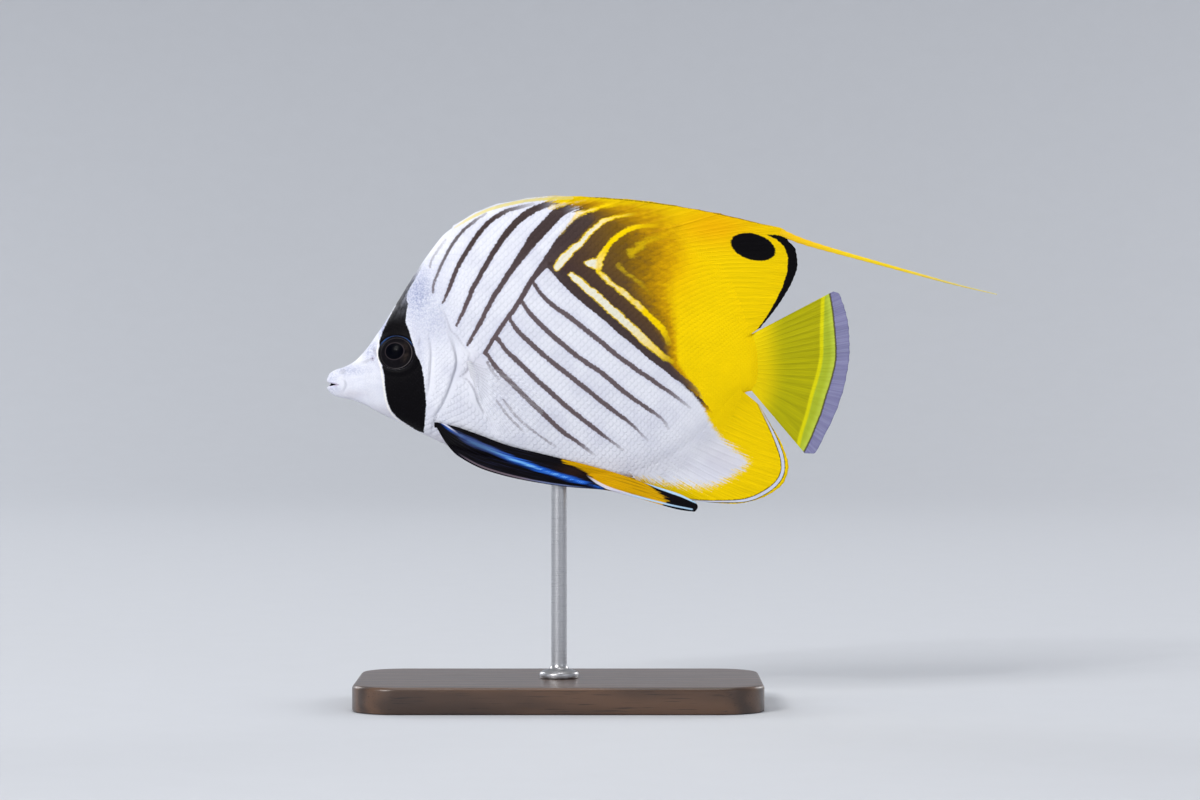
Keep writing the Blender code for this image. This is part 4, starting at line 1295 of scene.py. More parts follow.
def make_piece(
    name: str,
    points: Array,
    faces: Sequence[Array],
    material: bpy.types.Material,
    layers: dict[str, Array] | None = None,
) -> bpy.types.Object:
    """Makes a mesh object from points and faces.

    Args:
        name: The object's name.
        points: Rows of x, y and z in the fish's frame.
        faces: Blocks of faces, each an array with one row of corner numbers for each face.
        material: Its material.
        layers: One value for each point, by the layer's name.

    Returns:
        The object, smooth shaded, at the origin.
    """
    mesh = bpy.data.meshes.new(name)
    blocks = [np.asarray(block, np.int32) for block in faces if len(block)]
    counts = np.concatenate([np.full(len(block), block.shape[1], np.int32) for block in blocks])
    loops = np.concatenate([block.ravel() for block in blocks])
    mesh.vertices.add(len(points))
    mesh.vertices.foreach_set("co", to_world(points).astype(np.float32).ravel())
    mesh.loops.add(len(loops))
    mesh.loops.foreach_set("vertex_index", loops)
    mesh.polygons.add(len(counts))
    starts = np.concatenate([[0], np.cumsum(counts)[:-1]]).astype(np.int32)
    mesh.polygons.foreach_set("loop_start", starts)
    mesh.update(calc_edges=True)
    face_outwards(mesh)
    mesh.shade_smooth()
    mesh.materials.append(material)
    add_layers(mesh, layers or {})
    return add_object(name, mesh)


def grid_faces(rows: int, columns: int, closed: bool = False) -> Array:
    """Numbers the quads of a grid of points.

    Args:
        rows: How many rows of points there are.
        columns: How many points each row has.
        closed: Whether the last column joins the first.

    Returns:
        One row of four corner numbers for each quad.
    """
    i, j = np.meshgrid(np.arange(rows - 1), np.arange(columns - (not closed)), indexing="ij")
    a, b = i * columns + j, i * columns + (j + 1) % columns
    return np.stack([a, b, b + columns, a + columns], axis=-1).reshape(-1, 4)


def fan_faces(ring: Array, tip: int) -> Array:
    """Numbers the triangles between a closed ring of corners and a tip."""
    return np.stack([np.roll(ring, -1), ring, np.full(len(ring), tip)], axis=1)


def lofted(rings: Array, first: Array, last: Array) -> tuple[Array, list[Array]]:
    """Joins closed rings of points, with a fan over each end.

    Args:
        rings: The rings, as an array of rings by points by three.
        first: The point that closes the first ring.
        last: The point that closes the last ring.

    Returns:
        The points and the blocks of faces.
    """
    count, around = rings.shape[:2]
    points = np.concatenate([rings.reshape(-1, 3), first[None], last[None]])
    ring, end = np.arange(around), count * around
    tail = fan_faces(ring + end - around, end + 1)[:, [1, 0, 2]]
    fans = np.concatenate([fan_faces(ring, end), tail])
    return points, [grid_faces(count, around, closed=True), fans]


def sheet(centre: Array, half: Array) -> tuple[Array, list[Array]]:
    """Thickens a grid of points into a closed thin solid.

    Args:
        centre: The middle surface, as an array of rows by columns by three.
        half: Half of the thickness at each point of it.

    Returns:
        The points, front face first, and the blocks of faces.
    """
    rows, columns = half.shape
    normal = np.cross(np.gradient(centre, axis=0), np.gradient(centre, axis=1))
    normal /= np.linalg.norm(normal, axis=2)[..., None]
    lift = normal * half[..., None]
    points = np.concatenate([(centre + lift).reshape(-1, 3), (centre - lift).reshape(-1, 3)])
    back = rows * columns
    front = grid_faces(rows, columns)
    border = np.concatenate(
        [
            np.arange(columns),
            np.arange(1, rows) * columns + columns - 1,
            (rows - 1) * columns + np.arange(columns - 2, -1, -1),
            np.arange(rows - 2, 0, -1) * columns,
        ]
    )
    after = np.roll(border, -1)
    edge = np.stack([after, border, border + back, after + back], axis=1)
    return points, [front, front[:, ::-1] + back, edge]


def declare(piece: bpy.types.Object, slot: str, *nodes: str) -> bpy.types.Object:
    """Ties a piece to the model's body and hides the solids that it stands for.

    Args:
        piece: The piece.
        slot: The record's material slot; not used.
        nodes: The solids that it replaces.

    Returns:
        The piece.
    """
    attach(piece, "root")
    if nodes:
        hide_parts(*nodes)
    faces = len(piece.data.polygons)
    log.info("%s: %d faces, stands for %s", piece.name, faces, ", ".join(nodes) or "nothing")
    return piece


@dataclass(frozen=True)
class BodyForm:
    """The shape of the body: its outline, girth and relief."""

    back: Curve = Curve([(0.2, 1.9), (0.9, 3.2), (2.8, 4.4), (4.7, 5.0), (8.0, 6.6), (11.1, 9.5),
                         (16.0, 16.2), (21.7, 25.2), (26.0, 32.2), (33.0, 42.3), (36.4, 46.2),
                         (43.8, 50.5), (54.0, 52.8), (65.2, 53.2), (77.4, 52.0), (89.7, 49.2),
                         (101.9, 44.0), (114.1, 35.8), (121.8, 27.6), (126.6, 20.4), (129.4, 15.7),
                         (131.6, 14.8)])
    belly: Curve = Curve([(0.2, -1.6), (1.4, -3.0), (3.7, -4.0), (7.2, -4.7), (11.5, -6.3), (15.9, -8.7),
                          (21.3, -11.3), (30.6, -15.8), (42.2, -21.0), (54.0, -24.4), (65.2, -26.8),
                          (77.4, -28.6), (87.0, -29.2), (95.8, -28.0), (105.0, -23.9), (114.1, -17.4),
                          (120.9, -10.1), (125.8, -4.2), (128.6, -2.3), (131.6, -2.0)])
    half_width: Curve = Curve([(0.2, 1.1), (0.9, 1.7), (2.8, 2.3), (5.0, 2.6), (8.0, 3.2), (12.0, 4.7),
                               (16.0, 6.3), (20.0, 7.6), (25.0, 8.8), (31.0, 9.9), (38.0, 10.8),
                               (47.0, 11.2), (58.0, 11.0), (72.0, 10.1), (86.0, 8.6), (100.0, 6.7),
                               (112.0, 5.0), (122.0, 3.9), (129.0, 3.15), (132.0, 2.6), (134.2, 1.5),
                               (136.0, 0.5)])
    back_edge: Curve = Curve([(0.2, 0.3), (28.0, 0.5), (44.0, 1.1), (120.0, 1.1), (136.0, 0.3)])
    belly_edge: Curve = Curve([(0.2, 0.3), (20.0, 0.8), (50.0, 1.2), (120.0, 1.1), (136.0, 0.3)])
    lean: Curve = Curve([(0.2, 0.85), (10.0, 0.95), (34.0, 1.15), (60.0, 1.4), (110.0, 1.4),
                         (131.6, 1.1)])
    widest_share: float = 0.46
    gill_edge: Curve = Curve([(-40.0, 29.0), (-18.0, 31.2), (-9.5, 33.4), (-5.2, 35.8), (1.2, 38.3),
                              (6.7, 39.8), (10.4, 39.5), (18.1, 36.4), (26.6, 33.7), (34.9, 33.2),
                              (46.0, 34.4), (70.0, 36.0)])
    gill_swell: float = 0.5
    gill_swell_reach: float = 7.0
    gill_swell_middle: float = 2.0
    gill_swell_half_height: float = 16.0
    eye_place: tuple[float, float] = (21.7, 9.4)
    eye_opening: tuple[float, float] = (5.5, 5.1)
    lobe_place: tuple[float, float] = (46.3, 0.4)
    lobe_radii: tuple[float, float] = (3.4, 7.5)
    lobe_height: float = 0.75
    gill_ridges: tuple[tuple[float, float, float], ...] = ((-0.15, 0.65, 0.5), (0.16, -1.0, 0.7))
    eye_ridges: tuple[tuple[float, float, float], ...] = ((0.32, 1.16, 0.11), (-0.12, 1.42, 0.12))
    eye_dip: float = 2.0
    groove_lip: float = 0.6
    grooves: tuple[tuple[Points, float, float], ...] = (
        (((429, 326), (431, 337), (434, 351.5), (432.7, 364.8), (431, 383), (429, 395), (424, 404)),
         0.24, 0.55),
        (((430, 288), (434.8, 296.7), (444.4, 310), (454, 329.2), (465.4, 346.5), (472, 355),
          (470, 367.5), (462.5, 377)), 0.30, 0.6),
        (((343, 372), (346.5, 379), (347.4, 384), (346, 390), (342, 394)), 0.20, 0.45),
        (((352, 384), (362, 380), (373, 379), (384, 381.5), (396, 383)), 0.10, 0.7),
    )
    relief_end: float = 60.0
    relief_fade: float = 0.45

    def bulge(self, x: Array, z: Array) -> Array:
        """Share of the section's full width at a height.

        Args:
            x: Distances back from the snout.
            z: Heights.

        Returns:
            The share, 0 on the outline and 1 where the section is widest.
        """
        bottom, top = self.belly(x), self.back(x)
        share = np.clip((z - bottom) / (top - bottom), 0.0, 1.0)
        angle = np.arccos(1 - 2 * share) / math.pi
        skew = math.log(0.5) / math.log(self.widest_share)
        return np.clip(np.sin(math.pi * angle**skew), 0.0, 1.0) ** self.lean(x)

    def plain(self, x: Array, z: Array, head: bool = True) -> Array:
        """Distance from the middle plane to the skin, without its fine relief.

        Args:
            x: Distances back from the snout.
            z: Heights.
            head: Whether the gill cover's swelling counts.

        Returns:
            The distances.
        """
        bottom, top = self.belly(x), self.back(x)
        share = np.clip((z - bottom) / (top - bottom), 0.0, 1.0)
        edge = self.belly_edge(x) * (1 - share) + self.back_edge(x) * share
        bulge = self.bulge(x, z)
        swell = self.swell(x, z) * bulge if head else 0.0
        return edge + (self.half_width(x) - edge) * bulge + swell

    def swell(self, x: Array, z: Array) -> Array:
        """How far the gill cover stands out, most at its rear edge.

        Args:
            x: Distances back from the snout.
            z: Heights.

        Returns:
            The extra distance.
        """
        ahead = np.clip(self.gill_edge(z) - x, 0.0, None) / self.gill_swell_reach
        level = (z - self.gill_swell_middle) / self.gill_swell_half_height
        return self.gill_swell * np.exp(-(ahead**2) - level**4)

    def relief(self, x: Array, z: Array) -> Array:
        """Fine relief of the head and shoulder over the plain shape.

        Args:
            x: Distances back from the snout.
            z: Heights.

        Returns:
            How far the skin stands out, in millimetres.
        """
        behind = x - self.gill_edge(z)
        level = np.exp(-(((z - self.gill_swell_middle) / self.gill_swell_half_height) ** 4))
        drop = self.gill_swell * smoothstep(behind, -0.15, 0.35)
        out = level * (ridges(behind, self.gill_ridges) - drop)
        ring = oval(x, z, self.eye_place, self.eye_opening)
        out = out + ridges(ring, self.eye_ridges) - self.eye_dip * smoothstep(ring, 1.0, 0.72)
        lobe = oval(x, z, self.lobe_place, self.lobe_radii)
        out = out + self.lobe_height * smoothstep(lobe, 1.0, 0.35)
        for points, depth, width in self.grooves:
            line = smooth_line(chart(points))
            distance, share, side = nearest_on(line, np.stack([x, z], axis=1))
            fade = smoothstep(share, 0.0, 0.25) * smoothstep(share, 1.0, 0.75)
            lip = ridges(distance, ((self.groove_lip, 2 * width, width),)) * (side < 0)
            out = out + depth * fade * (lip - np.exp(-((distance / width) ** 2)))
        return out

    def skin(self, x: Array, z: Array) -> Array:
        """Distance from the middle plane to the finished skin.

        Args:
            x: Distances back from the snout.
            z: Heights.

        Returns:
            The distances.
        """
        flat_x, flat_z = np.ravel(x), np.ravel(z)
        ahead = flat_x < self.relief_end
        relief = np.zeros(len(flat_x))
        relief[ahead] = self.relief(flat_x[ahead], flat_z[ahead])
        fade = smoothstep(self.bulge(flat_x, flat_z), 0.0, self.relief_fade)
        plain = self.plain(flat_x, flat_z, head=False)
        shape = np.where(ahead, self.plain(flat_x, flat_z), plain)
        return (shape + relief * fade).reshape(np.shape(x))

    def outside(self, x: float, z: float, side: Side) -> tuple[Array, Array]:
        """Finds a point of the plain skin and the way out of it.

        Args:
            x: Distance back from the snout.
            z: Height.
            side: The flank.

        Returns:
            The point and the outward normal there.
        """
        step = 0.05
        out = float(self.plain(x, z))
        along = float(self.plain(x + step, z) - self.plain(x - step, z)) / (2 * step)
        up = float(self.plain(x, z + step) - self.plain(x, z - step)) / (2 * step)
        normal = np.array([-along, 1.0, -up]) / math.sqrt(1 + along**2 + up**2)
        return np.array([x, side.value * out, z]), normal * (1, side.value, 1)


@dataclass
class Skin:
    """One fine skin over the head, the torso and the stalk of the tail."""

    form: BodyForm
    markings: Markings
    start: float = 0.2
    head_stations: int = 210
    head_end: float = 48.0
    trunk_stations: int = 72
    trunk_end: float = 136.0
    stalk_taper: float = 6.5
    steps: int = 150
    mouth_corner: tuple[float, float] = (3.7, -0.28)
    mouth_front: float = -0.09
    mouth_gape: float = 0.66
    mouth_depth: float = 1.25
    slit_depth: float = 0.92
    nose: Points = ((0.5, 0.22), (0.85, 0.1))
    nose_tip: float = 0.26

    def build(self, material: bpy.types.Material) -> bpy.types.Object:
        """Builds the skin.

        Args:
            material: Its material.

        Returns:
            The skin.
        """
        head = np.linspace(self.start, self.head_end, self.head_stations)
        trunk = np.linspace(self.head_end, self.trunk_end, self.trunk_stations)
        stations = np.concatenate([head, trunk[1:]])
        angles = np.linspace(0, math.pi, self.steps)
        x = np.repeat(stations[:, None], self.steps, axis=1)
        bottom, top = self.form.belly(stations)[:, None], self.form.back(stations)[:, None]
        z = bottom + (top - bottom) * (1 - np.cos(angles)) / 2
        y = self.form.skin(x, z)
        y *= np.sqrt(np.clip((self.trunk_end + 0.02 - x) / self.stalk_taper, 0, 1))
        left = np.stack([x, -y, z], axis=2)
        rings = np.concatenate([left, (left * (1, -1, 1))[:, ::-1]], axis=1)
        middle = rings[0].mean(axis=0)
        nose = [middle + (rings[0] - middle) * s - (d, 0, 0) for s, d in self.nose]
        rings = np.concatenate([np.array(nose), rings])
        points, faces = lofted(rings, middle - (self.nose_tip, 0, 0), rings[-1].mean(axis=0))
        layers = self.markings.paint(points[:, 0], points[:, 2])
        for name in ("rim", "lane", "reach"):
            layers[name] = np.zeros(len(points))
        # Paints the slit between the lips black, as painted shade inside the mouth.
        slit = self.slit(points)
        layers[Layer.BLACK] = np.maximum(layers[Layer.BLACK], (slit - 0.3) * 1.2)
        layers[Layer.BLACK_FADE] = np.maximum(layers[Layer.BLACK_FADE], slit > 0)
        points[:, 1] *= 1 - self.slit_depth * slit
        points[:, 0] += np.clip(self.mouth_depth - points[:, 0], 0, None) * slit
        return make_piece("skin", points, faces, material, layers)

    def slit(self, points: Array) -> Array:
        """Measures how far points lie in the slit of the mouth.

        Args:
            points: Rows of x, y and z.

        Returns:
            The share, 0 outside the slit and 1 in its middle.
        """
        corner, level = self.mouth_corner
        run = np.clip(points[:, 0] / corner, 0.0, 1.0)
        middle = self.mouth_front + (level - self.mouth_front) * run
        gape = self.mouth_gape * (1 - run) ** 0.7 + 0.08
        return smoothstep(np.abs(points[:, 2] - middle) / gape, 1.25, 0.55) * (run < 1)


@dataclass
class RayFin:
    """A fan of rays in the middle plane: where it is rooted, how far it reaches, how it is ribbed."""

    name: str
    slot: str
    root: Array
    tips: Array
    root_half: Array
    rows: int = 64
    ridge: float = 0.20
    branches: bool = True
    forks: tuple[tuple[float, float, float], ...] = ((0.25, 0.34, 1.0), (0.125, 0.62, 1.1))
    web_half: float = 0.24
    margin_half: float = 0.12
    flare: float = 5.0
    bow: Array | None = None
    scallop: float = 0.0
    wave: float = 0.25
    count: int = 24

    def ribs(self, index: Array, share: Array) -> Array:
        """Height of the rays over the web, which fork twice on their way out.

        Args:
            index: Ray numbers across the fin.
            share: Shares of the way out along the rays.

        Returns:
            Heights from 0 to 1, by share and then by index.
        """
        off = np.abs(index - np.round(index))[None] * np.ones_like(share)[:, None]
        out = share[:, None]
        for apart, start, end in self.forks if self.branches else ():
            off = np.abs(off - apart * smoothstep(out, start, end))
        width = 0.13 - 0.06 * out if self.branches else 0.16 - 0.07 * out
        return np.exp(-((off / width) ** 2)) * (1 - 0.45 * out**2)

    def grid(self) -> tuple[Array, Array, dict[str, Array]]:
        """Lays out the fin.

        Returns:
            The middle surface, its half thickness, and the layers of its points.
        """
        columns = len(self.root)
        index = np.linspace(0.0, self.count - 1, columns)
        share = np.linspace(0.0, 1.0, self.rows)
        ribs = self.ribs(index, share)
        web = np.abs(np.sin(math.pi * index))
        reach = 1 - self.scallop * web / np.linalg.norm(self.tips - self.root, axis=1)
        tips = self.root + (self.tips - self.root) * reach[:, None]
        out = share[:, None, None]
        centre = self.root[None] * (1 - out) + tips[None] * out
        if self.bow is not None:
            centre = centre + 4 * out * (1 - out) * self.bow[None]
        length = np.linalg.norm(tips - self.root, axis=1)[None]
        far = share[:, None] * length
        sway = np.sin(index * 0.9)[None] + 0.5 * np.sin(index * 2.3 + 1.0)[None]
        centre[..., 1] += self.wave * sway * smoothstep(share[:, None], 0.3, 1.0)
        half = self.web_half + (self.margin_half - self.web_half) * share[:, None] ** 2
        half = half + (self.root_half[None] - half) * np.exp(-((far / self.flare) ** 1.3))
        half = half + self.ridge * ribs * smoothstep(far, 0.5, 3.0)
        flat = np.ones_like(half)
        layers = {
            "lane": flat * index[None],
            "reach": flat * share[:, None],
            "ray": ribs,
            "root": flat * smoothstep(far, 14.0, 0.0),
            "rim": flat * 0.0,
        }
        return centre, half, layers

    def build(
        self,
        material: bpy.types.Material,
        markings: Markings | None,
        paint: dict[str, Array] | None = None,
    ) -> bpy.types.Object:
        """Builds the fin.

        Args:
            material: Its material.
            markings: The flank's markings, for a fin that carries them.
            paint: Further layers, one value for each point of the middle surface.

        Returns:
            The fin.
        """
        centre, half, layers = self.grid()
        points, faces = sheet(centre, half)
        both = {name: np.tile(values.ravel(), 2) for name, values in layers.items()}
        if markings:
            both |= markings.paint(points[:, 0], points[:, 2])
        for name, values in (paint or {}).items():
            both[name] = np.tile(np.ravel(values), 2)
        return make_piece(self.name, points, faces, material, both)


def tip_line(knots: Sequence[tuple[float, float, float]], index: Array) -> Array:
    """Reads ray tips off a few numbered ones.

    Args:
        knots: Ray numbers, each with its tip's x and z.
        index: The ray numbers that are wanted.

    Returns:
        The tips, in the middle plane.
    """
    number, x, z = np.transpose(knots)
    tips = [Curve(np.transpose([number, line]))(index) for line in (x, z)]
    return np.stack([tips[0], np.zeros(len(index)), tips[1]], axis=1)


@dataclass
class MedianFins:
    """The spiny and soft dorsal fin, the anal fin, the tail fin and the trailing thread."""

    form: BodyForm
    markings: Markings
    sink: float = 1.6
    root_cover: float = 0.04
    bar_limit: float = 6.0
    dorsal_range: tuple[float, float, float] = (37.2, 97.0, 129.4)
    anal_range: tuple[float, float] = (93.0, 127.4)
    tail_root: float = 129.6
    spine_tips: Sequence[tuple[float, float, float]] = (
        (0, 38.6, 48.4), (1, 45.4, 52.4), (2, 52.6, 55.2), (4, 70.0, 57.6), (7, 92.0, 56.6),
        (11, 120.9, 52.15))
    soft_tips: Sequence[tuple[float, float, float]] = (
        (0, 120.2, 52.1), (2, 131.5, 49.4), (5, 140.4, 46.8), (6, 140.8, 44.5), (8, 143.4, 41.2),
        (11, 144.0, 36.5), (14, 142.6, 31.8), (17, 140.0, 27.0), (20, 136.7, 22.2), (23, 132.7, 17.4))
    anal_tips: Sequence[tuple[float, float, float]] = (
        (0, 97.5, -31.9), (2, 106.0, -34.4), (3, 112.0, -35.7), (6, 124.5, -36.7), (8, 131.0, -35.6),
        (10, 136.4, -33.2), (12, 140.0, -29.9), (14, 141.3, -25.4), (17, 139.6, -19.2),
        (20, 135.6, -12.0), (22, 132.4, -6.6))
    tail_tips: Sequence[tuple[float, float, float]] = (
        (0, 154.9, 28.3), (0.5, 156.6, 27.9), (1, 157.3, 26.4), (3, 158.8, 22.0), (5, 159.7, 17.1),
        (8, 160.0, 9.8), (11, 158.8, 1.2), (13, 156.3, -7.2), (15, 151.2, -18.0), (15.5, 149.0, -21.4),
        (16, 146.2, -21.2))
    bar_inner: Points = ((822, 284), (820.8, 304), (819.8, 334.5), (819.4, 357), (815.2, 377),
                         (809.8, 395), (804.6, 416), (799.5, 432), (796.6, 445), (794, 458))
    bar_outer: Points = ((827, 283), (829.5, 295), (832.2, 310), (834.2, 330), (835.4, 345), (835.3, 360),
                         (832.8, 372), (829, 386), (825.5, 396), (821, 412), (817, 422), (811, 437),
                         (804, 451.5), (799, 461))
    thread_path: Points = ((141.2, 45.3), (144.7, 43.9), (151.7, 41.7), (165.2, 37.9), (179.6, 33.9),
                           (194.0, 30.0), (205.0, 27.4))
    thread_girth: Points = ((0.0, 1.12), (0.1, 0.95), (0.3, 0.66), (0.7, 0.36), (1.0, 0.12))
    thread_flatness: float = 0.6
    thread_lap: float = 2.5

    def sunk_root(self, curve: Curve, x: Array, outward: int) -> Array:
        """Root points of a fin, a little inside the body's outline.

        Args:
            curve: The outline.
            x: Distances back from the snout.
            outward: 1 over the back and -1 under the belly.

        Returns:
            The root points.
        """
        rise = (curve(x + 0.1) - curve(x - 0.1)) / 0.2
        length = np.hypot(rise, 1.0)
        away = -outward * self.sink
        flat = np.zeros(len(x))
        return np.stack([x - rise / length * away, flat, curve(x) + away / length], axis=1)

    def rooted(
        self,
        name: str,
        outward: int,
        ends: tuple[float, float],
        tips: Sequence[tuple[float, float, float]],
        bow: Points = ((0, 0.0), (1, 0.0)),
        per_ray: int = 12,
        **build: float,
    ) -> RayFin:
        """Plans a fin whose rays are rooted along the body's outline.

        Args:
            name: The fin's name.
            outward: 1 over the back and -1 under the belly.
            ends: Where the first and the last ray are rooted, back from the snout.
            tips: Ray numbers, each with its tip's x and z.
            bow: How far rays bend upwards, by ray number.
            per_ray: How many columns of points each ray gets.
            build: The plan's other values.

        Returns:
            The fin's plan.
        """
        last = tips[-1][0]
        index = np.linspace(0, last, last * per_ray + 1)
        outline = self.form.back if outward > 0 else self.form.belly
        root = self.sunk_root(outline, np.linspace(*ends, len(index)), outward)
        half = self.form.plain(root[:, 0], root[:, 2], head=False) + self.root_cover
        return RayFin(
            name, "fin_yellow", root, tip_line(tips, index), half, count=last + 1,
            bow=np.outer(Curve(bow)(index), (0, 0, 1)), **build,
        )

    def patterned(self) -> tuple[tuple[RayFin, str], ...]:
        """Plans the fins that carry the flanks' pattern.

        Returns:
            Each fin's plan and the solid that it stands for.
        """
        start, split, end = self.dorsal_range
        spines = self.rooted(
            "dorsal_spines", 1, (start, split + 0.1), self.spine_tips, per_ray=18, rows=44,
            ridge=0.16, branches=False, scallop=0.3, wave=0.05, flare=3.8,
        )
        rays = {"scallop": 0.12, "wave": 0.10, "ridge": 0.13}
        soft_bow = ((0, 0.0), (6, 0.8), (12, 0.8), (23, 0.0))
        soft = self.rooted(
            "dorsal_soft_rays", 1, (split - 0.5, end), self.soft_tips, soft_bow, rows=66, **rays
        )
        anal_bow = ((0, -0.4), (8, -1.2), (22, 0.0))
        anal = self.rooted("anal_rays", -1, self.anal_range, self.anal_tips, anal_bow, rows=60, **rays)
        return (spines, "dorsal_fin_spiny"), (soft, "dorsal_fin_soft"), (anal, "anal_fin")

    def tail(self) -> tuple[RayFin, dict[str, Array]]:
        """Plans the tail fin and its bar.

        Returns:
            The fin's plan, and the layers of its bar and its clear edge.
        """
        last = self.tail_tips[-1][0]
        index = np.linspace(0, last, last * 16 + 1)
        top, bottom = float(self.form.back(self.tail_root)), float(self.form.belly(self.tail_root))
        z = np.linspace(top - 0.5, bottom + 0.5, len(index))
        x = np.full(len(index), self.tail_root)
        half = self.form.plain(x, z) * 0.72 + 0.05
        fin = RayFin(
            "tail_rays", "fin_yellow", np.stack([x, np.zeros(len(index)), z], axis=1),
            tip_line(self.tail_tips, index), half, rows=80, count=last + 1, scallop=0.15,
            wave=0.30, flare=7.0, web_half=0.25, ridge=0.12,
        )
        places = fin.grid()[0][..., [0, 2]].reshape(-1, 2)
        layers = {}
        for name, line in (("bar", self.bar_inner), ("veil", self.bar_outer)):
            distance, _, side = nearest_on(smooth_line(chart(line)), places)
            layers[name] = np.clip(distance * side, -self.bar_limit, self.bar_limit)
        return fin, layers

    def thread(self, material: bpy.types.Material) -> bpy.types.Object:
        """Builds the thread that trails from the sixth soft ray.

        Args:
            material: Its material.

        Returns:
            The thread.
        """
        share = np.linspace(0.0, 1.0, 90)
        first, last = self.thread_path[0][0], self.thread_path[-1][0]
        x = first - self.thread_lap + (last - first + self.thread_lap) * share
        z = Curve(self.thread_path)(x)
        z[x < first] += (first - x[x < first]) * 0.45
        path = np.stack([x, 0.05 * np.sin(x * 0.4), z], axis=1)
        girth = Curve(self.thread_girth)(share) * (1 + 0.06 * np.sin(x * 2.1))
        piece = Bead(sides=14).build("thread", path, girth, material)
        corners = corners_of(piece.data)
        flat = corners * (1, self.thread_flatness, 1)
        piece.data.vertices.foreach_set("co", to_world(flat).astype(np.float32).ravel())
        run = np.clip((corners[:, 0] - first) / (last - first), 0, 1)
        add_layers(piece.data, {"reach": run})
        return piece

    def build(
        self, flesh: bpy.types.Material, web: bpy.types.Material, gold: bpy.types.Material
    ) -> list[bpy.types.Object]:
        """Builds and declares all of these fins.

        Args:
            flesh: The patterned fins' material.
            web: The tail fin's material.
            gold: The thread's material.

        Returns:
            The three patterned fins, which scales grow onto.
        """
        patterned = [
            declare(plan.build(flesh, self.markings), plan.slot, node)
            for plan, node in self.patterned()
        ]
        tail, layers = self.tail()
        declare(tail.build(web, None, layers), tail.slot, "tail_fin")
        declare(self.thread(gold), "fin_yellow", "dorsal_thread")
        return patterned


def wired(
    name: str,
    inputs: dict[str, str],
    kinds: dict[str, str],
    constants: dict[str, object],
    links: Sequence[tuple[str, str]],
) -> bpy.types.NodeTree:
    """Builds a Geometry Nodes tree from tables.

    Args:
        name: The tree's name.
        inputs: The kind of each input of the tree.
        kinds: The type of each node, with its operation after a colon, by the node's short name.
        constants: Values of the nodes' own inputs, each under "node.input".
        links: Pairs of "node.output" and "node.input", where the tree itself is "in" and "out".

    Returns:
        The tree.
    """
    tree = bpy.data.node_groups.new(name, "GeometryNodeTree")
    for label, kind in inputs.items():
        tree.interface.new_socket(label, in_out="INPUT", socket_type="NodeSocket" + kind)
    tree.interface.new_socket("Result", in_out="OUTPUT", socket_type="NodeSocketGeometry")
    nodes = {}
    for short, kind in {"in": "NodeGroupInput", "out": "NodeGroupOutput", **kinds}.items():
        nodes[short] = tree.nodes.new(kind.split(":")[0])
        if ":" in kind:
            nodes[short].operation = kind.split(":")[1]

    def socket(side: str, address: str) -> bpy.types.NodeSocket:
        """Finds a socket by its node's short name and its own name or number."""
        short, label = address.split(".")
        return getattr(nodes[short], side)[int(label) if label.isdigit() else label]

    for address, value in constants.items():
        socket("inputs", address).default_value = value
    for source, target in links:
        tree.links.new(socket("outputs", source), socket("inputs", target))
    return tree


def grown(
    name: str,
    tree: bpy.types.NodeTree,
    points: Array,
    edges: Sequence[tuple[int, int]],
    layers: dict[str, Array],
    values: dict[str, object],
) -> bpy.types.Object:
    """Runs a node tree on a guide of points and edges, and keeps the result as a plain mesh.

    Args:
        name: The result's name.
        tree: The node tree, whose first input is the guide.
        points: The guide's points, as rows of x, y and z in the fish's frame.
        edges: Pairs of point numbers.
        layers: One value for each point, by the layer's name.
        values: The tree's other inputs by name, with the material as Finish.

    Returns:
        The result, at the origin.
    """
    frame = bpy.data.meshes.new(name + "_guide")
    frame.from_pydata(to_world(points).tolist(), edges, [])
    add_layers(frame, layers)
    guide = add_object(name + "_guide", frame)
    modifier = guide.modifiers.new("grow", "NODES")
    modifier.node_group = tree
    for item in tree.interface.items_tree:
        if item.in_out == "INPUT" and item.name in values:
            modifier[item.identifier] = values[item.name]
    guide.update_tag()
    bpy.context.view_layer.update()
    graph = bpy.context.evaluated_depsgraph_get()
    mesh = bpy.data.meshes.new_from_object(guide.evaluated_get(graph))
    guide.modifiers.remove(modifier)
    bpy.data.objects.remove(guide)
    mesh.name = name
    face_outwards(mesh)
    mesh.materials.clear()
    mesh.materials.append(values["Finish"])
    return add_object(name, mesh)


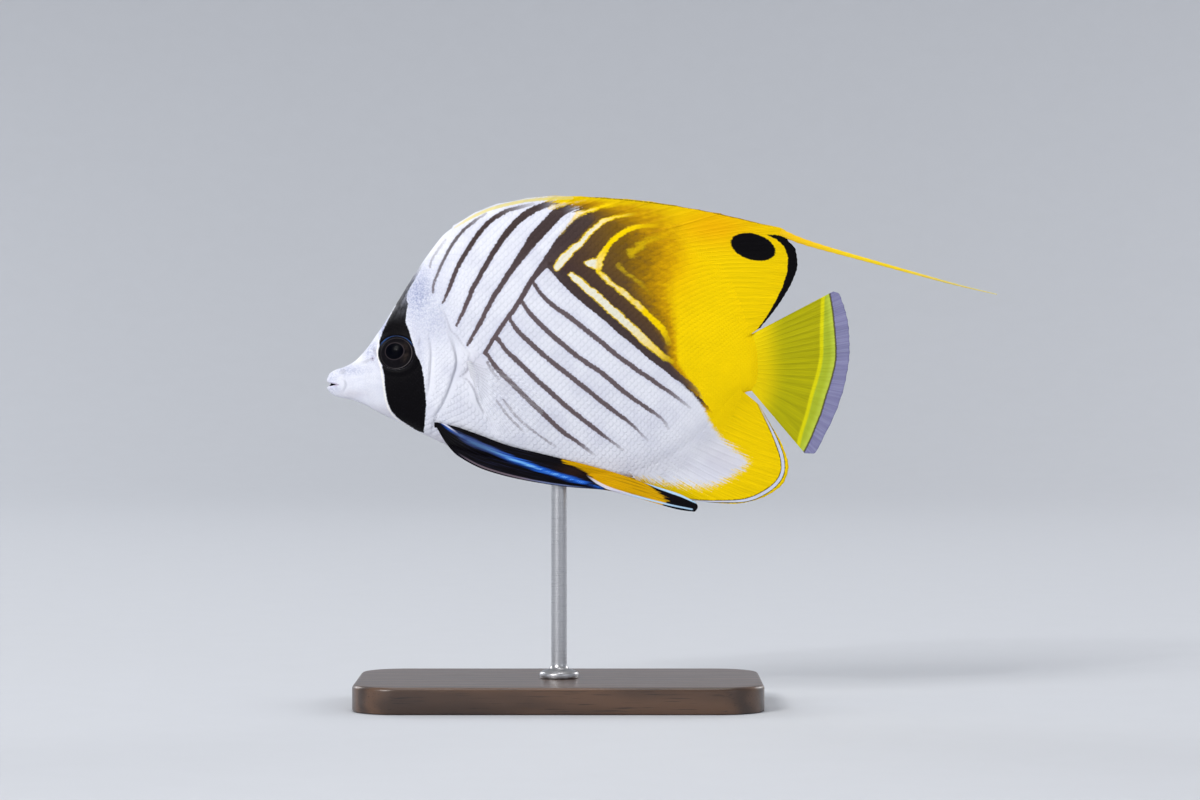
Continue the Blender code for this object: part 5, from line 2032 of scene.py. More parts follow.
@dataclass(frozen=True)
class Bead:
    """A tube along a path, drawn by Geometry Nodes."""

    sides: int = 16
    closed: bool = False

    def tree(self) -> bpy.types.NodeTree:
        """Builds the node tree.

        Returns:
            The tree, with inputs for the path, the number of sides and the material.
        """
        kinds = {
            "curve": "GeometryNodeMeshToCurve", "circle": "GeometryNodeCurvePrimitiveCircle",
            "girth": "GeometryNodeInputNamedAttribute", "radius": "GeometryNodeSetCurveRadius",
            "sweep": "GeometryNodeCurveToMesh", "smooth": "GeometryNodeSetShadeSmooth",
            "dress": "GeometryNodeSetMaterial",
        }
        links = (
            ("in.Path", "curve.Mesh"), ("curve.0", "radius.Curve"), ("girth.0", "radius.Radius"),
            ("in.Sides", "circle.Resolution"), ("circle.0", "sweep.Profile Curve"),
            ("radius.0", "sweep.Curve"), ("girth.0", "sweep.Scale"), ("sweep.0", "smooth.0"),
            ("smooth.0", "dress.Geometry"), ("in.Finish", "dress.Material"), ("dress.0", "out.Result"),
        )
        constants = {"girth.Name": "girth", "circle.Radius": MM, "sweep.Fill Caps": True}
        inputs = {"Path": "Geometry", "Sides": "Int", "Finish": "Material"}
        return wired("bead_along_path", inputs, kinds, constants, links)

    def build(
        self, name: str, path: Array, girth: Array, material: bpy.types.Material
    ) -> bpy.types.Object:
        """Draws the tube.

        Args:
            name: The object's name.
            path: Its middle line, as rows of x, y and z in the fish's frame.
            girth: Its radius at each point, in millimetres.
            material: Its material.

        Returns:
            The tube, as a plain mesh at the origin.
        """
        edges = [(i, i + 1) for i in range(len(path) - 1)]
        if self.closed:
            edges.append((len(path) - 1, 0))
        values = {"Sides": self.sides, "Finish": material}
        return grown(name, self.tree(), path, edges, {"girth": girth}, values)


@dataclass
class ScaleCoat:
    """The coat of scales: overlapping lenses in slanting rows, laid onto the skin."""

    form: BodyForm
    markings: Markings
    pitch: float = 2.2
    row: float = 1.1
    half_length: float = 0.64
    half_height: float = 1.16
    around: int = 12
    front_sink: float = -0.07
    rear_lift: float = 0.07
    under_sink: float = -0.28
    lens_rings: tuple[float, ...] = (0.55, 0.90, 1.0)
    squareness: float = 0.92
    dome: float = 0.03
    skirt: float = 0.10
    paint_pull: float = 0.12
    seed: int = 7
    turn: float = 0.07
    ray_start: float = 0.06
    ray_length: float = 0.2
    size_at: Curve = Curve([(9.0, 0.30), (16.0, 0.42), (24.0, 0.55), (36.0, 0.8), (45.0, 1.0),
                            (85.0, 1.0), (105.0, 0.85), (118.0, 0.66), (128.0, 0.55), (150.0, 0.5)])
    axis_height: Curve = Curve([(0.0, 1.0), (45.0, 12.0), (85.0, 12.0), (131.6, 6.4)])
    over_back: Curve = Curve([(36.0, -0.6), (60.0, -0.7), (98.0, -0.7), (101.0, 3.0), (106.0, 7.5),
                              (120.0, 8.0), (127.0, 3.0), (129.0, -0.8), (133.0, -0.8)])
    under_belly: Curve = Curve([(90.0, -0.8), (100.0, -0.8), (103.0, 3.0), (106.0, 6.0), (118.0, 7.0),
                                (125.0, 2.0), (127.0, -0.8), (133.0, -0.8)])
    dorsal_start: float = 37.0
    anal_start: float = 93.0
    extent: tuple[float, float] = (9.0, 150.0)
    last_x: float = 133.0
    edge_gap: float = 0.25
    eye_gap: float = 1.3
    lobe_radii: tuple[float, float] = (3.6, 7.6)
    head_end: float = 44.0
    middle_x: float = 80.0
    stalk_start: float = 114.0

    def unit(self) -> tuple[Array, list[Array], Array]:
        """Shapes one scale of unit size.

        Returns:
            Its points as rows of x, lift and z, its faces, and how near its rear rim each point is.
        """
        turn = turns(self.around) + math.pi / self.around
        round_x, round_z = (
            np.sign(wave) * np.abs(wave) ** self.squareness for wave in (np.cos(turn), np.sin(turn))
        )
        length, height = self.half_length * self.pitch, self.half_height * self.row
        points = [(0.0, 0.0)]
        for share in self.lens_rings:
            points += list(zip(round_x * length * share, round_z * height * share))
        flat = np.array([*points, (0.0, 0.0)])
        out = oval(*flat.T, (0.0, 0.0), (length, height))
        along = (flat[:, 0] / length + 1) / 2
        rise = self.front_sink + (self.rear_lift - self.front_sink) * along
        rise = rise + self.dome * (1 - out)
        rise[-self.around - 1 : -1] -= self.skirt
        rise[-1] = self.under_sink
        j = np.arange(self.around)
        k = (j + 1) % self.around
        ring = [1 + i * self.around for i in range(3)]
        fan = np.stack([np.zeros(self.around, int), ring[0] + j, ring[0] + k], axis=1)
        bands = [
            np.stack([ring[i] + j, ring[i + 1] + j, ring[i + 1] + k, ring[i] + k], axis=1)
            for i in range(2)
        ]
        under = np.stack([np.full(self.around, len(points)), ring[2] + k, ring[2] + j], axis=1)
        rim = smoothstep(out, 0.6, 1.0) * smoothstep(flat[:, 0] / length, -0.2, 0.5)
        lens = np.stack([flat[:, 0], rise, flat[:, 1]], axis=1)
        return lens, [fan, *bands, under], rim

    def lattice(self) -> tuple[Array, Array]:
        """Places the scales of one flank.

        Returns:
            Rows of x and z, and the size of each scale.
        """
        stations = np.linspace(*self.extent, 1200)
        sizes = self.size_at(stations)
        run = np.concatenate([[0.0], np.cumsum(np.diff(stations) * 2 / (sizes[1:] + sizes[:-1]))])
        x, z = [], []
        for i, level in enumerate(np.arange(-90.0, 90.0, self.row)):
            start = self.pitch / 2 if i % 2 else 0.0
            at = np.interp(np.arange(start, run[-1], self.pitch), run, stations)
            x.append(at)
            z.append(self.axis_height(at) + level * self.size_at(at))
        x, z = np.concatenate(x), np.concatenate(z)
        return np.stack([x, z], axis=1), self.size_at(x)

    def kept(self, places: Array, sizes: Array) -> Array:
        """Chooses the scales that have room.

        Args:
            places: Rows of x and z.
            sizes: The size of each scale.

        Returns:
            Which scales are kept.
        """
        x, z = places.T
        steep = np.hypot(1.0, (self.form.back(x + 0.1) - self.form.back(x - 0.1)) / 0.2)
        room = self.half_height * self.row * sizes * np.minimum(steep, 2.0) + self.edge_gap
        over = np.where(x > self.dorsal_start, self.over_back(x), -room)
        under = np.where(x > self.anal_start, self.under_belly(x), -room)
        keep = (z < self.form.back(x) + over) & (z > self.form.belly(x) - under)
        keep &= x < self.last_x
        opening = np.add(self.form.eye_opening, self.eye_gap)
        keep &= oval(x, z, self.form.eye_place, opening) > 1.0
        edge = x - self.form.gill_edge(z)
        keep &= ~((np.abs(edge - 0.2) < 0.8 + 0.4 * sizes) & (z > -9) & (z < 16))
        keep &= oval(x, z, self.form.lobe_place, self.lobe_radii) > 1.0
        keep &= x > 11.0 + 0.25 * np.abs(z - 1.0)
        for stroke in self.markings.crease_shades_and_smudges:
            distance, _, _ = nearest_on(smooth_line(chart(stroke.line)), places)
            keep &= distance > 0.25 + 0.95 * sizes
        return keep

    def tree(self) -> bpy.types.NodeTree:
        """Builds the node tree that lays the scales.

        Returns:
            The tree, with inputs for the places, the scale, the surface, the side, how far a
            scale may turn, the seed and the material.
        """
        inputs = {
            "Places": "Geometry", "Scale": "Object", "Surface": "Object", "Side": "Float",
            "Turn": "Float", "Seed": "Int", "Finish": "Material",
        }
        kinds = {
            "scale": "GeometryNodeObjectInfo", "surface": "GeometryNodeObjectInfo",
            "size": "GeometryNodeInputNamedAttribute", "low": "ShaderNodeMath:MULTIPLY",
            "turn": "FunctionNodeRandomValue", "angle": "ShaderNodeCombineXYZ",
            "place": "GeometryNodeInstanceOnPoints", "whole": "GeometryNodeRealizeInstances",
            "here": "GeometryNodeInputPosition", "apart": "ShaderNodeSeparateXYZ",
            "far": "ShaderNodeMath:MULTIPLY", "back": "ShaderNodeMath:MULTIPLY",
            "start": "ShaderNodeCombineXYZ", "way": "ShaderNodeCombineXYZ",
            "ray": "GeometryNodeRaycast", "lift": "ShaderNodeVectorMath:SCALE",
            "ground": "ShaderNodeVectorMath:ADD", "move": "GeometryNodeSetPosition",
            "smooth": "GeometryNodeSetShadeSmooth", "dress": "GeometryNodeSetMaterial",
        }
        constants = {
            "size.Name": "size", "low.1": -1.0, "far.1": self.ray_start, "back.1": -1.0,
            "ray.Ray Length": self.ray_length,
        }
        links = (
            ("in.Scale", "scale.Object"), ("in.Surface", "surface.Object"),
            ("in.Places", "place.Points"), ("scale.Geometry", "place.Instance"),
            ("in.Turn", "low.0"), ("low.0", "turn.2"), ("in.Turn", "turn.3"),
            ("in.Seed", "turn.Seed"), ("turn.1", "angle.Y"), ("angle.0", "place.Rotation"),
            ("size.0", "place.Scale"), ("place.0", "whole.0"), ("here.0", "apart.0"),
            ("in.Side", "far.0"), ("in.Side", "back.0"), ("apart.X", "start.X"),
            ("far.0", "start.Y"), ("apart.Z", "start.Z"), ("back.0", "way.Y"),
            ("surface.Geometry", "ray.Target Geometry"), ("start.0", "ray.Source Position"),
            ("way.0", "ray.Ray Direction"), ("ray.Hit Normal", "lift.0"),
            ("apart.Y", "lift.Scale"), ("ray.Hit Position", "ground.0"), ("lift.0", "ground.1"),
            ("whole.0", "move.Geometry"), ("ray.Is Hit", "move.Selection"),
            ("ground.0", "move.Position"), ("move.0", "smooth.0"), ("smooth.0", "dress.Geometry"),
            ("in.Finish", "dress.Material"), ("dress.0", "out.Result"),
        )
        return wired("coat_of_scales", inputs, kinds, constants, links)

    def surface(self, parts: Sequence[bpy.types.Object]) -> bpy.types.Object:
        """Joins copies of the skin and fins into the surface that scales lie on.

        Args:
            parts: The skin and the fins that carry scales.

        Returns:
            The surface, which is removed once the coat is laid.
        """
        points, faces, count = [], [], 0
        for part in parts:
            faces.append(triangles_of(part.data) + count)
            points.append(corners_of(part.data))
            count += len(points[-1])
        material = parts[0].data.materials[0]
        return make_piece("coat_ground", np.concatenate(points), [np.concatenate(faces)], material)

    def lay(
        self,
        name: str,
        side: Side,
        places: Array,
        sizes: Array,
        ground: bpy.types.Object,
        material: bpy.types.Material,
    ) -> bpy.types.Object:
        """Lays one part of the coat.

        Args:
            name: The piece's name.
            side: The flank.
            places: Rows of x and z.
            sizes: The size of each scale.
            ground: The surface.
            material: The scales' material.

        Returns:
            The piece, painted and mapped.
        """
        lens, faces, rim = self.unit()
        unit = make_piece("one_scale", lens - STAND_SHIFT, faces, material, {"rim": rim})
        values = {
            "Scale": unit, "Surface": ground, "Side": float(side.value), "Turn": self.turn,
            "Seed": self.seed, "Finish": material,
        }
        spots = np.insert(places, 1, 0.0, axis=1)
        piece = grown(name, self.tree(), spots, [], {"size": sizes}, values)
        bpy.data.objects.remove(unit)
        self.dress(piece, side, places, sizes, lens)
        return piece

    def dress(
        self, piece: bpy.types.Object, side: Side, places: Array, sizes: Array, lens: Array
    ) -> None:
        """Paints a part of the coat and gives it its map.

        Args:
            piece: The piece.
            side: The flank.
            places: Rows of x and z, one for each scale.
            sizes: The size of each scale.
            lens: One scale of unit size.
        """
        mesh, count = piece.data, len(lens)
        corners = corners_of(mesh)
        root = np.repeat(places - np.stack([sizes * 0.35, sizes * 0], axis=1), count, axis=0)
        flat = corners[:, [0, 2]]
        source = flat + (root - flat) * self.paint_pull
        layers = self.markings.paint(source[:, 0], source[:, 1])
        layers |= {"lane": np.zeros(len(corners)), "reach": np.zeros(len(corners))}
        add_layers(mesh, layers)
        x, z = places.T
        tall = self.form.back(x) - self.form.belly(x)
        level = z - self.form.belly(x) - tall / 2 + self.form.plain(np.clip(x, 0.2, 136.0), z) * 0.2
        spot = np.stack([x / 170.0, 0.25 + level / 400.0], axis=1)
        spot[:, 1] += 0.5 * (side is Side.RIGHT)
        local = lens[:, [0, 2]] / (2 * self.half_length * self.pitch) * 0.003
        spread = np.repeat(spot, count, axis=0) + np.tile(local, (len(places), 1))
        index = np.empty(len(mesh.loops), np.int32)
        mesh.loops.foreach_get("vertex_index", index)
        bake = mesh.uv_layers.new(name="OFBake")
        bake.data.foreach_set("uv", spread[index].astype(np.float32).ravel())

    def build(
        self, parts: Sequence[bpy.types.Object], material: bpy.types.Material
    ) -> None:
        """Args:
            parts: The skin and the fins that carry scales.
            material: The scales' material.
        """
        ground = self.surface(parts)
        places, sizes = self.lattice()
        keep = self.kept(places, sizes)
        places, sizes = places[keep], sizes[keep]
        x, z = places.T
        beyond = np.maximum(z - self.form.back(x), self.form.belly(x) - z)
        sizes = sizes * (1 - 0.6 * smoothstep(beyond, 1.0, 7.5))
        fins = beyond > -0.5
        head = (x < self.head_end) & ~fins
        stalk = (x > self.stalk_start) & ~fins
        front = (x <= self.middle_x) & ~fins & ~head
        groups = (
            ("head", head, ("head",)),
            ("flank_front", front, ("torso",)),
            ("flank_rear", ~fins & ~head & ~front & ~stalk, ("torso",)),
            ("stalk", stalk, ("tail_stalk",)),
            ("fin_roots", fins, ("dorsal_fin_soft", "anal_fin")),
        )
        for side in Side:
            for label, chosen, nodes in groups:
                name = f"scales_{label}_{side.name.lower()}"
                piece = self.lay(name, side, places[chosen], sizes[chosen], ground, material)
                declare(piece, "skin_white", *nodes)
        bpy.data.objects.remove(ground)


@dataclass
class Eyes:
    """Both eyeballs and the rings of skin round them."""

    form: BodyForm
    radii: tuple[float, float, float] = (6.3, 3.1, 5.85)
    proud: float = 1.4
    segments: int = 96
    rings: int = 48
    ring_steps: int = 120
    ring_girth: float = 0.30
    pupil_place: tuple[float, float] = (-0.26, -0.56)
    pupil_radii: tuple[float, float] = (2.90, 2.46)
    iris_radii: tuple[float, float] = (5.44, 4.99)
    smudge_place: tuple[float, float] = (2.9, 0.0)
    smudge_radii: tuple[float, float] = (1.0, 2.2)
    cornea_rise: float = 0.22
    hidden: tuple[float, float] = (20.0, 0.0)

    def axes(self, side: Side) -> tuple[Array, Array]:
        """Finds an eyeball's place.

        Args:
            side: The flank.

        Returns:
            Its centre, and its backward, outward and upward axes as rows.
        """
        point, normal = self.form.outside(*self.form.eye_place, side)
        back = np.array([1.0, 0.0, 0.0]) - normal[0] * normal
        back /= np.linalg.norm(back)
        axes = np.stack([back, normal, np.cross(back, normal)])
        return point - (self.radii[1] - self.proud) * normal, axes

    def ball(self, side: Side, material: bpy.types.Material) -> bpy.types.Object:
        """Builds an eyeball, whose cornea rises a little over the pupil.

        Args:
            side: The flank.
            material: Its material.

        Returns:
            The eyeball.
        """
        centre, axes = self.axes(side)
        tilt = np.linspace(0, math.pi, self.rings + 2)[1:-1]
        turn = turns(self.segments)
        flat_x = np.outer(np.sin(tilt), np.cos(turn)) * self.radii[0]
        flat_z = np.outer(np.sin(tilt), np.sin(turn)) * self.radii[2]
        out = np.repeat(np.cos(tilt)[:, None], self.segments, axis=1) * self.radii[1]
        away = np.hypot(flat_x, flat_z)
        out = out + self.cornea_rise * smoothstep(away, 3.4, 0.6) * (out > 0)
        local = np.stack([flat_x, out, flat_z], axis=2)
        poles = np.outer((self.radii[1] + self.cornea_rise, -self.radii[1]), (0.0, 1.0, 0.0))
        points, faces = lofted(centre + local @ axes, *(centre + poles @ axes))
        flat = np.stack([flat_x.ravel(), flat_z.ravel()], axis=1)
        flat[out.ravel() < 0] = self.hidden
        x, z = np.concatenate([flat, [(0.0, 0.0), self.hidden]]).T
        layers = {
            "away": oval(x, z, self.pupil_place, self.pupil_radii),
            "out": oval(x, z, (0.0, 0.0), self.iris_radii),
            "rear": np.exp(-oval(x, z, self.smudge_place, self.smudge_radii) ** 2),
            "aft": smoothstep(x + 0.6 * z, 0.0, 4.0),
        }
        name = f"eyeball_{side.name.lower()}"
        return make_piece(name, points, faces, material, layers)

    def ring(self, side: Side, material: bpy.types.Material) -> bpy.types.Object:
        """Builds the ring of skin round an eye.

        Args:
            side: The flank.
            material: Its material.

        Returns:
            The ring.
        """
        turn = turns(self.ring_steps)
        path = []
        for angle in turn:
            way = (math.cos(angle), math.sin(angle))
            x, z = np.add(self.form.eye_place, np.multiply(self.form.eye_opening, way))
            point, normal = self.form.outside(x, z, side)
            path.append(point - 0.02 * normal)
        girth = self.ring_girth * (1 + 0.08 * np.sin(turn * 3 + 1))
        name = f"orbit_{side.name.lower()}"
        piece = Bead(sides=16, closed=True).build(name, np.array(path), girth, material)
        corners = corners_of(piece.data)
        up = corners[:, 2] - self.form.eye_place[1]
        off = np.hypot(corners[:, 0] - self.form.eye_place[0], up)
        # Where the painted blue glint lies: the ring's upper arc.
        arc = smoothstep(up / off, 0.35, 0.75) * smoothstep(off, 5.15, 5.5)
        add_layers(piece.data, {"blue": arc})
        return piece

    def build(self, wet: bpy.types.Material, skin: bpy.types.Material) -> None:
        """Builds and declares both eyes.

        Args:
            wet: The eyeballs' material.
            skin: The rings' material.
        """
        for side in Side:
            declare(self.ball(side, wet), "eye", f"eye_{side.name.lower()}")
            declare(self.ring(side, skin), "skin_white", "head")


@dataclass
class Snout:
    """The lips and the nostrils."""

    form: BodyForm
    corner_x: float = 3.7
    front_x: float = 0.78
    half_width: float = 2.1
    lip_girth: tuple[float, float] = (0.26, 0.64)
    lip_levels: tuple[float, float] = (1.06, -1.28)
    corner_level: float = -0.28
    nostrils: Points = ((14.3, 7.7), (15.2, 9.7))
    nostril_radii: tuple[float, float] = (0.52, 0.40)

    def lip(self, name: str, up: int, material: bpy.types.Material) -> bpy.types.Object:
        """Builds a lip.

        Args:
            name: The lip's name.
            up: 1 for the upper lip and -1 for the lower.
            material: Its material.

        Returns:
            The lip.
        """
        turn = np.linspace(-0.5, 0.5, 61) * math.pi
        arch = np.cos(turn)
        front = self.lip_levels[0 if up > 0 else 1]
        x = self.corner_x - (self.corner_x - self.front_x) * arch
        z = self.corner_level + (front - self.corner_level) * np.clip(arch, 0, 1) ** 0.8
        path = np.stack([x, self.half_width * np.sin(turn), z], axis=1)
        girth = self.lip_girth[0] + (self.lip_girth[1] - self.lip_girth[0]) * arch
        piece = Bead(sides=20).build(name, path, girth, material)
        corners = corners_of(piece.data)
        inner = smoothstep(up * (corners[:, 2] + 0.1), 0.75, 0.15)
        add_layers(piece.data, {"inner": inner * 0.6})
        return piece

    def nostril(self, number: int, side: Side, material: bpy.types.Material) -> bpy.types.Object:
        """Builds the low rim round a nostril.

        Args:
            number: 0 for the front nostril and 1 for the rear.
            side: The flank.
            material: Its material.

        Returns:
            The rim.
        """
        x, z = self.nostrils[number]
        radius = self.nostril_radii[number]
        point, normal = self.form.outside(x, z, side)
        along = np.cross(normal, (0.0, 0.0, 1.0))
        along /= np.linalg.norm(along)
        up = np.cross(along, normal)
        turn = turns(32)
        path = point + radius * (np.outer(np.cos(turn), along) + np.outer(np.sin(turn), up))
        girth = 0.15 + 0.05 * np.sin(turn)
        name = f"nostril_{number + 1}_{side.name.lower()}"
        piece = Bead(sides=10, closed=True).build(name, path, girth, material)
        add_layers(piece.data, {"inner": np.full(len(piece.data.vertices), 0.55)})
        return piece

    def build(self, material: bpy.types.Material) -> None:
        """Args:
            material: Their material.
        """
        for name, up in (("upper_lip", 1), ("lower_lip", -1)):
            declare(self.lip(name, up, material), "skin_white", "head")
        for side in Side:
            for number in range(len(self.nostrils)):
                declare(self.nostril(number, side, material), "skin_white", "head")


@dataclass
class PairedFins:
    """The clear pectoral fins and the long dark pelvic fins."""

    form: BodyForm
    pectoral_count: int = 15
    pectoral_root: tuple[tuple[float, float], tuple[float, float]] = ((45.2, 6.6), (47.0, -4.6))
    pectoral_lengths: Points = ((0, 16.0), (3, 25.5), (6, 24.0), (10, 17.5), (14, 11.0))
    pectoral_slope_deg: tuple[float, float] = (16.0, 74.0)
    pectoral_splay_deg: tuple[float, float] = (19.0, 13.0)
    pectoral_cup: float = 0.9
    pectoral_gap: float = 0.75
    pectoral_sink: float = 2.0
    pectoral_half: float = 0.55
    pelvic_top: Curve = Curve([(33.9, -11.6), (39.5, -12.8), (45.9, -15.0), (55.6, -18.6), (67.0, -21.5),
                               (80.2, -24.8), (91.8, -28.2), (97.9, -30.3), (103.0, -31.9),
                               (108.5, -33.6), (113.4, -35.9)])
    pelvic_bottom: Curve = Curve([(33.9, -13.2), (37.0, -18.6), (40.2, -21.9), (49.3, -26.5),
                                  (63.0, -29.8), (74.4, -31.4), (84.8, -32.2), (92.4, -34.0),
                                  (100.0, -36.2), (108.5, -38.4), (113.4, -39.0)])
    pelvic_least: Curve = Curve([(34.0, 3.5), (84.0, 3.5), (113.4, 2.7)])
    pelvic_spine: Curve = Curve([(34.0, 0.2), (48.0, 0.33), (63.0, 0.48), (76.0, 0.72), (85.0, 0.93)])
    pelvic_rows: int = 190
    pelvic_columns: int = 72
    pelvic_ends: tuple[float, float] = (34.0, 113.4)
    pelvic_web: float = 0.22
    pelvic_rays: float = 9.0
    pelvic_ridge: float = 0.07
    pelvic_trim: float = 0.7
    pelvic_edge: float = 0.06
    pelvic_sway: float = 0.10
    pelvic_point: float = 0.32
    pelvic_keel: float = 1.5
    keel_reach: float = 0.45
    keel_half: float = 0.36
    keel_fades: tuple[float, float] = (96.0, 84.0)
    fringe_half: float = 0.24
    # Where the painted violet sheen below the spine lies.
    dusk: tuple[float, ...] = (500.0, 462.0, 48.0, 16.0, 1.0)
    warmth: tuple[float, ...] = (572.0, 471.0, 16.0, 6.0, 1.0)
    # The painted blue sheen along the spine: its width, its strength and its brightness along it.
    keel_sheen_stroke: Stroke = Stroke(((438, 420), (442, 422.4), (450, 428.4), (460, 434), (470, 439.8),
                                 (480, 444.6), (490, 449), (500, 453.6), (510, 457.6), (520, 461.4),
                                 (530, 465), (540, 468.8), (550, 472), (560, 475.1), (570, 478.1),
                                 (580, 481), (590, 484), (603, 487.8)), ((0, 1.0), (0.06, 1.6),
                                 (0.14, 5.0), (0.25, 8.4), (0.4, 7.6), (0.6, 6.2), (0.75, 5.6),
                                 (0.9, 4.0), (1, 2.0)), ((0, 0.9), (0.06, 0.9), (0.14, 0.6), (0.3, 0.62),
                                 (0.42, 0.85), (0.5, 1.0), (1, 1.0)), ((0, 1.0), (0.06, 0.9),
                                 (0.14, 0.15), (0.3, 0.2), (0.45, 0.75), (0.6, 1.0), (0.8, 1.0),
                                 (1, 1.0)))
    fringe_depth: Curve = Curve([(40.0, 0.9), (46.0, 0.75), (54.0, 0.62), (64.0, 0.5), (80.0, 0.4)])
    fringe_strength: Curve = Curve([(40.0, 0.0), (45.0, 0.62), (58.0, 0.7), (66.0, 0.75), (74.0, 0.6),
                                    (81.0, 0.0)])
    ice_strokes: tuple[Stroke, ...] = (
        Stroke(((439.5, 420.6), (446, 424), (452, 428), (458.5, 432.4)), ((0, 1.2), (0.5, 1.6), (1, 1.0)),
               ((0, 0.9), (0.5, 0.85), (1, 0.1)), ((0, 1.0), (1, 0.8))),
        Stroke(((641, 480), (650, 484), (660, 488), (670, 491.4), (680, 494.6), (690, 498.6),
               (697, 501.5)), ((0, 1.4), (0.5, 2.6), (1, 4.0)), ((0, 0.2), (0.15, 0.9), (1, 1.0))),
        Stroke(((587, 475), (592, 478.6), (598, 482.4), (606, 486.4), (614, 489.6), (622, 492.2),
               (630, 494.4), (640, 497), (650, 499.6), (660, 502), (672, 505), (692, 509)), ((0, 1.0),
               (0.12, 2.6), (0.35, 3.2), (0.45, 2.4), (0.7, 1.8), (1, 1.6)), ((0, 0.1), (0.1, 0.85),
               (0.4, 0.95), (1, 0.85)), ((0, 1.0), (0.3, 1.0), (0.5, 0.2), (0.65, 0.0), (1, 0.0))),
    )
    yellow_outline: Points = ((561, 458), (572, 460), (590, 463), (612, 467), (632, 473), (642, 480),
                              (651, 486.5), (660, 493), (668, 500), (661, 507), (640, 499), (622, 494),
                              (606, 488), (598, 482), (591, 476), (583, 469.5), (573, 465), (564, 462))

    def pectoral(self, side: Side) -> RayFin:
        """Plans a pectoral fin.

        Args:
            side: The flank.

        Returns:
            The fin's plan.
        """
        last = self.pectoral_count - 1
        index = np.linspace(0, last, last * 14 + 1)
        share = index / last
        slope = np.radians(np.interp(share, (0, 1), self.pectoral_slope_deg))
        splay = np.radians(np.interp(share, (0, 1), self.pectoral_splay_deg))
        length = Curve(self.pectoral_lengths)(index)
        upper, lower = self.pectoral_root
        x, z = (np.outer(1 - share, upper) + np.outer(share, lower)).T
        out = self.form.plain(x, z, head=False) + self.pectoral_gap
        root = np.stack([x, side.value * out, z], axis=1)
        flat = np.cos(splay)
        way = [np.cos(slope) * flat, side.value * np.sin(splay), -np.sin(slope) * flat]
        way = np.stack(way, axis=1)
        bow = np.tile((0.0, side.value * self.pectoral_cup, 0.0), (len(index), 1))
        return RayFin(
            f"pectoral_{side.name.lower()}", "fin_clear", root - way * self.pectoral_sink,
            root + way * length[:, None], np.full(len(index), self.pectoral_half), rows=56,
            bow=bow, ridge=0.05, count=self.pectoral_count, scallop=0.2, wave=0.12,
            web_half=0.07, margin_half=0.04, flare=2.5,
        )

    def pelvic(self, side: Side, material: bpy.types.Material) -> bpy.types.Object:
        """Builds a pelvic fin.

        Args:
            side: The flank.
            material: Its material.

        Returns:
            The fin.
        """
        start, end = self.pelvic_ends
        spread = Curve([(0, start - 0.8), (40, start + 8.0), (self.pelvic_rows - 1, end)])
        x = np.repeat(spread(np.arange(self.pelvic_rows))[:, None], self.pelvic_columns, axis=1)
        share = np.linspace(0, 1, self.pelvic_columns)[None]
        top, bottom = self.pelvic_top(x), self.pelvic_bottom(x)
        z = top * (1 - share) + bottom * share
        height = top - bottom
        off_keel = share - self.pelvic_spine(x)
        keel = np.clip(1 - np.abs(off_keel) / self.keel_reach, 0, 1)
        keel = keel * np.clip((x - start) / 8.0, 0, 1) * smoothstep(x, *self.keel_fades)
        fan = off_keel * self.pelvic_rays
        ribs = np.exp(-(((fan - np.round(fan)) / 0.22) ** 2)) * np.clip((height - 3) / 6, 0, 1)
        web = self.pelvic_web + self.keel_half * keel**3
        half = web + self.pelvic_ridge * ribs
        trim = np.minimum(share, 1 - share) * height / self.pelvic_trim
        half = self.pelvic_edge + (half - self.pelvic_edge) * np.sqrt(np.clip(trim, 0, 1))
        half = half * np.sqrt(np.clip((end - x) / 1.6, 0.03, 1))
        inside = np.maximum(self.form.plain(x, z, head=False) + 0.3, self.pelvic_least(x))
        out = inside + web * 1.25 + 0.15 + self.pelvic_keel * keel
        sway = np.sin(x * 0.35 + share * 3.0) * smoothstep(x, 60.0, 100.0)
        out = out + self.pelvic_sway * sway
        late = np.clip((x - 60.0) / (end - 60.0), 0, 1) ** 10
        x = x - self.pelvic_point * height * (2 * share - 1) ** 2 * late
        centre = np.stack([x, side.value * out, z], axis=2)
        points, faces = sheet(centre, half)
        places = points[:, [0, 2]]
        keel_sheen_edge, keel_fade, keel_tone = self.keel_sheen_stroke.measure(places)
        rise = np.tile(((1 - share) * height).ravel(), 2)
        fleshy = self.fringe_half - np.abs(rise - self.fringe_depth(places[:, 0]))
        ice, ice_fade, ice_tone = strongest(self.ice_strokes, places)
        layers = {
            "keel": keel_sheen_edge,
            "keel_fade": keel_fade,
            "fleshy": fleshy,
            "fleshy_fade": self.fringe_strength(places[:, 0]),
            "fleshy_tone": smoothstep(places[:, 0], 58.0, 68.0),
            "ice": ice,
            "ice_fade": ice_fade,
            "ice_tone": ice_tone,
            "keel_tone": keel_tone,
            "yellow": inside_outline(self.yellow_outline, places),
            "strand": np.tile(np.broadcast_to(share, half.shape).ravel(), 2),
            "reach": np.tile(np.linspace(0, 1, self.pelvic_rows).repeat(self.pelvic_columns), 2),
            "dusk": glow((self.dusk,), places),
            "warmth": glow((self.warmth,), places),
        }
        return make_piece(f"pelvic_{side.name.lower()}", points, faces, material, layers)

    def build(self, clear: bpy.types.Material, leaf: bpy.types.Material) -> None:
        """Args:
            clear: The pectoral fins' material.
            leaf: The pelvic fins' material.
        """
        for side in Side:
            label = side.name.lower()
            plan = self.pectoral(side)
            declare(plan.build(clear, None), plan.slot, f"pectoral_fin_{label}")
            declare(self.pelvic(side, leaf), "fin_black", f"pelvic_fin_{label}")


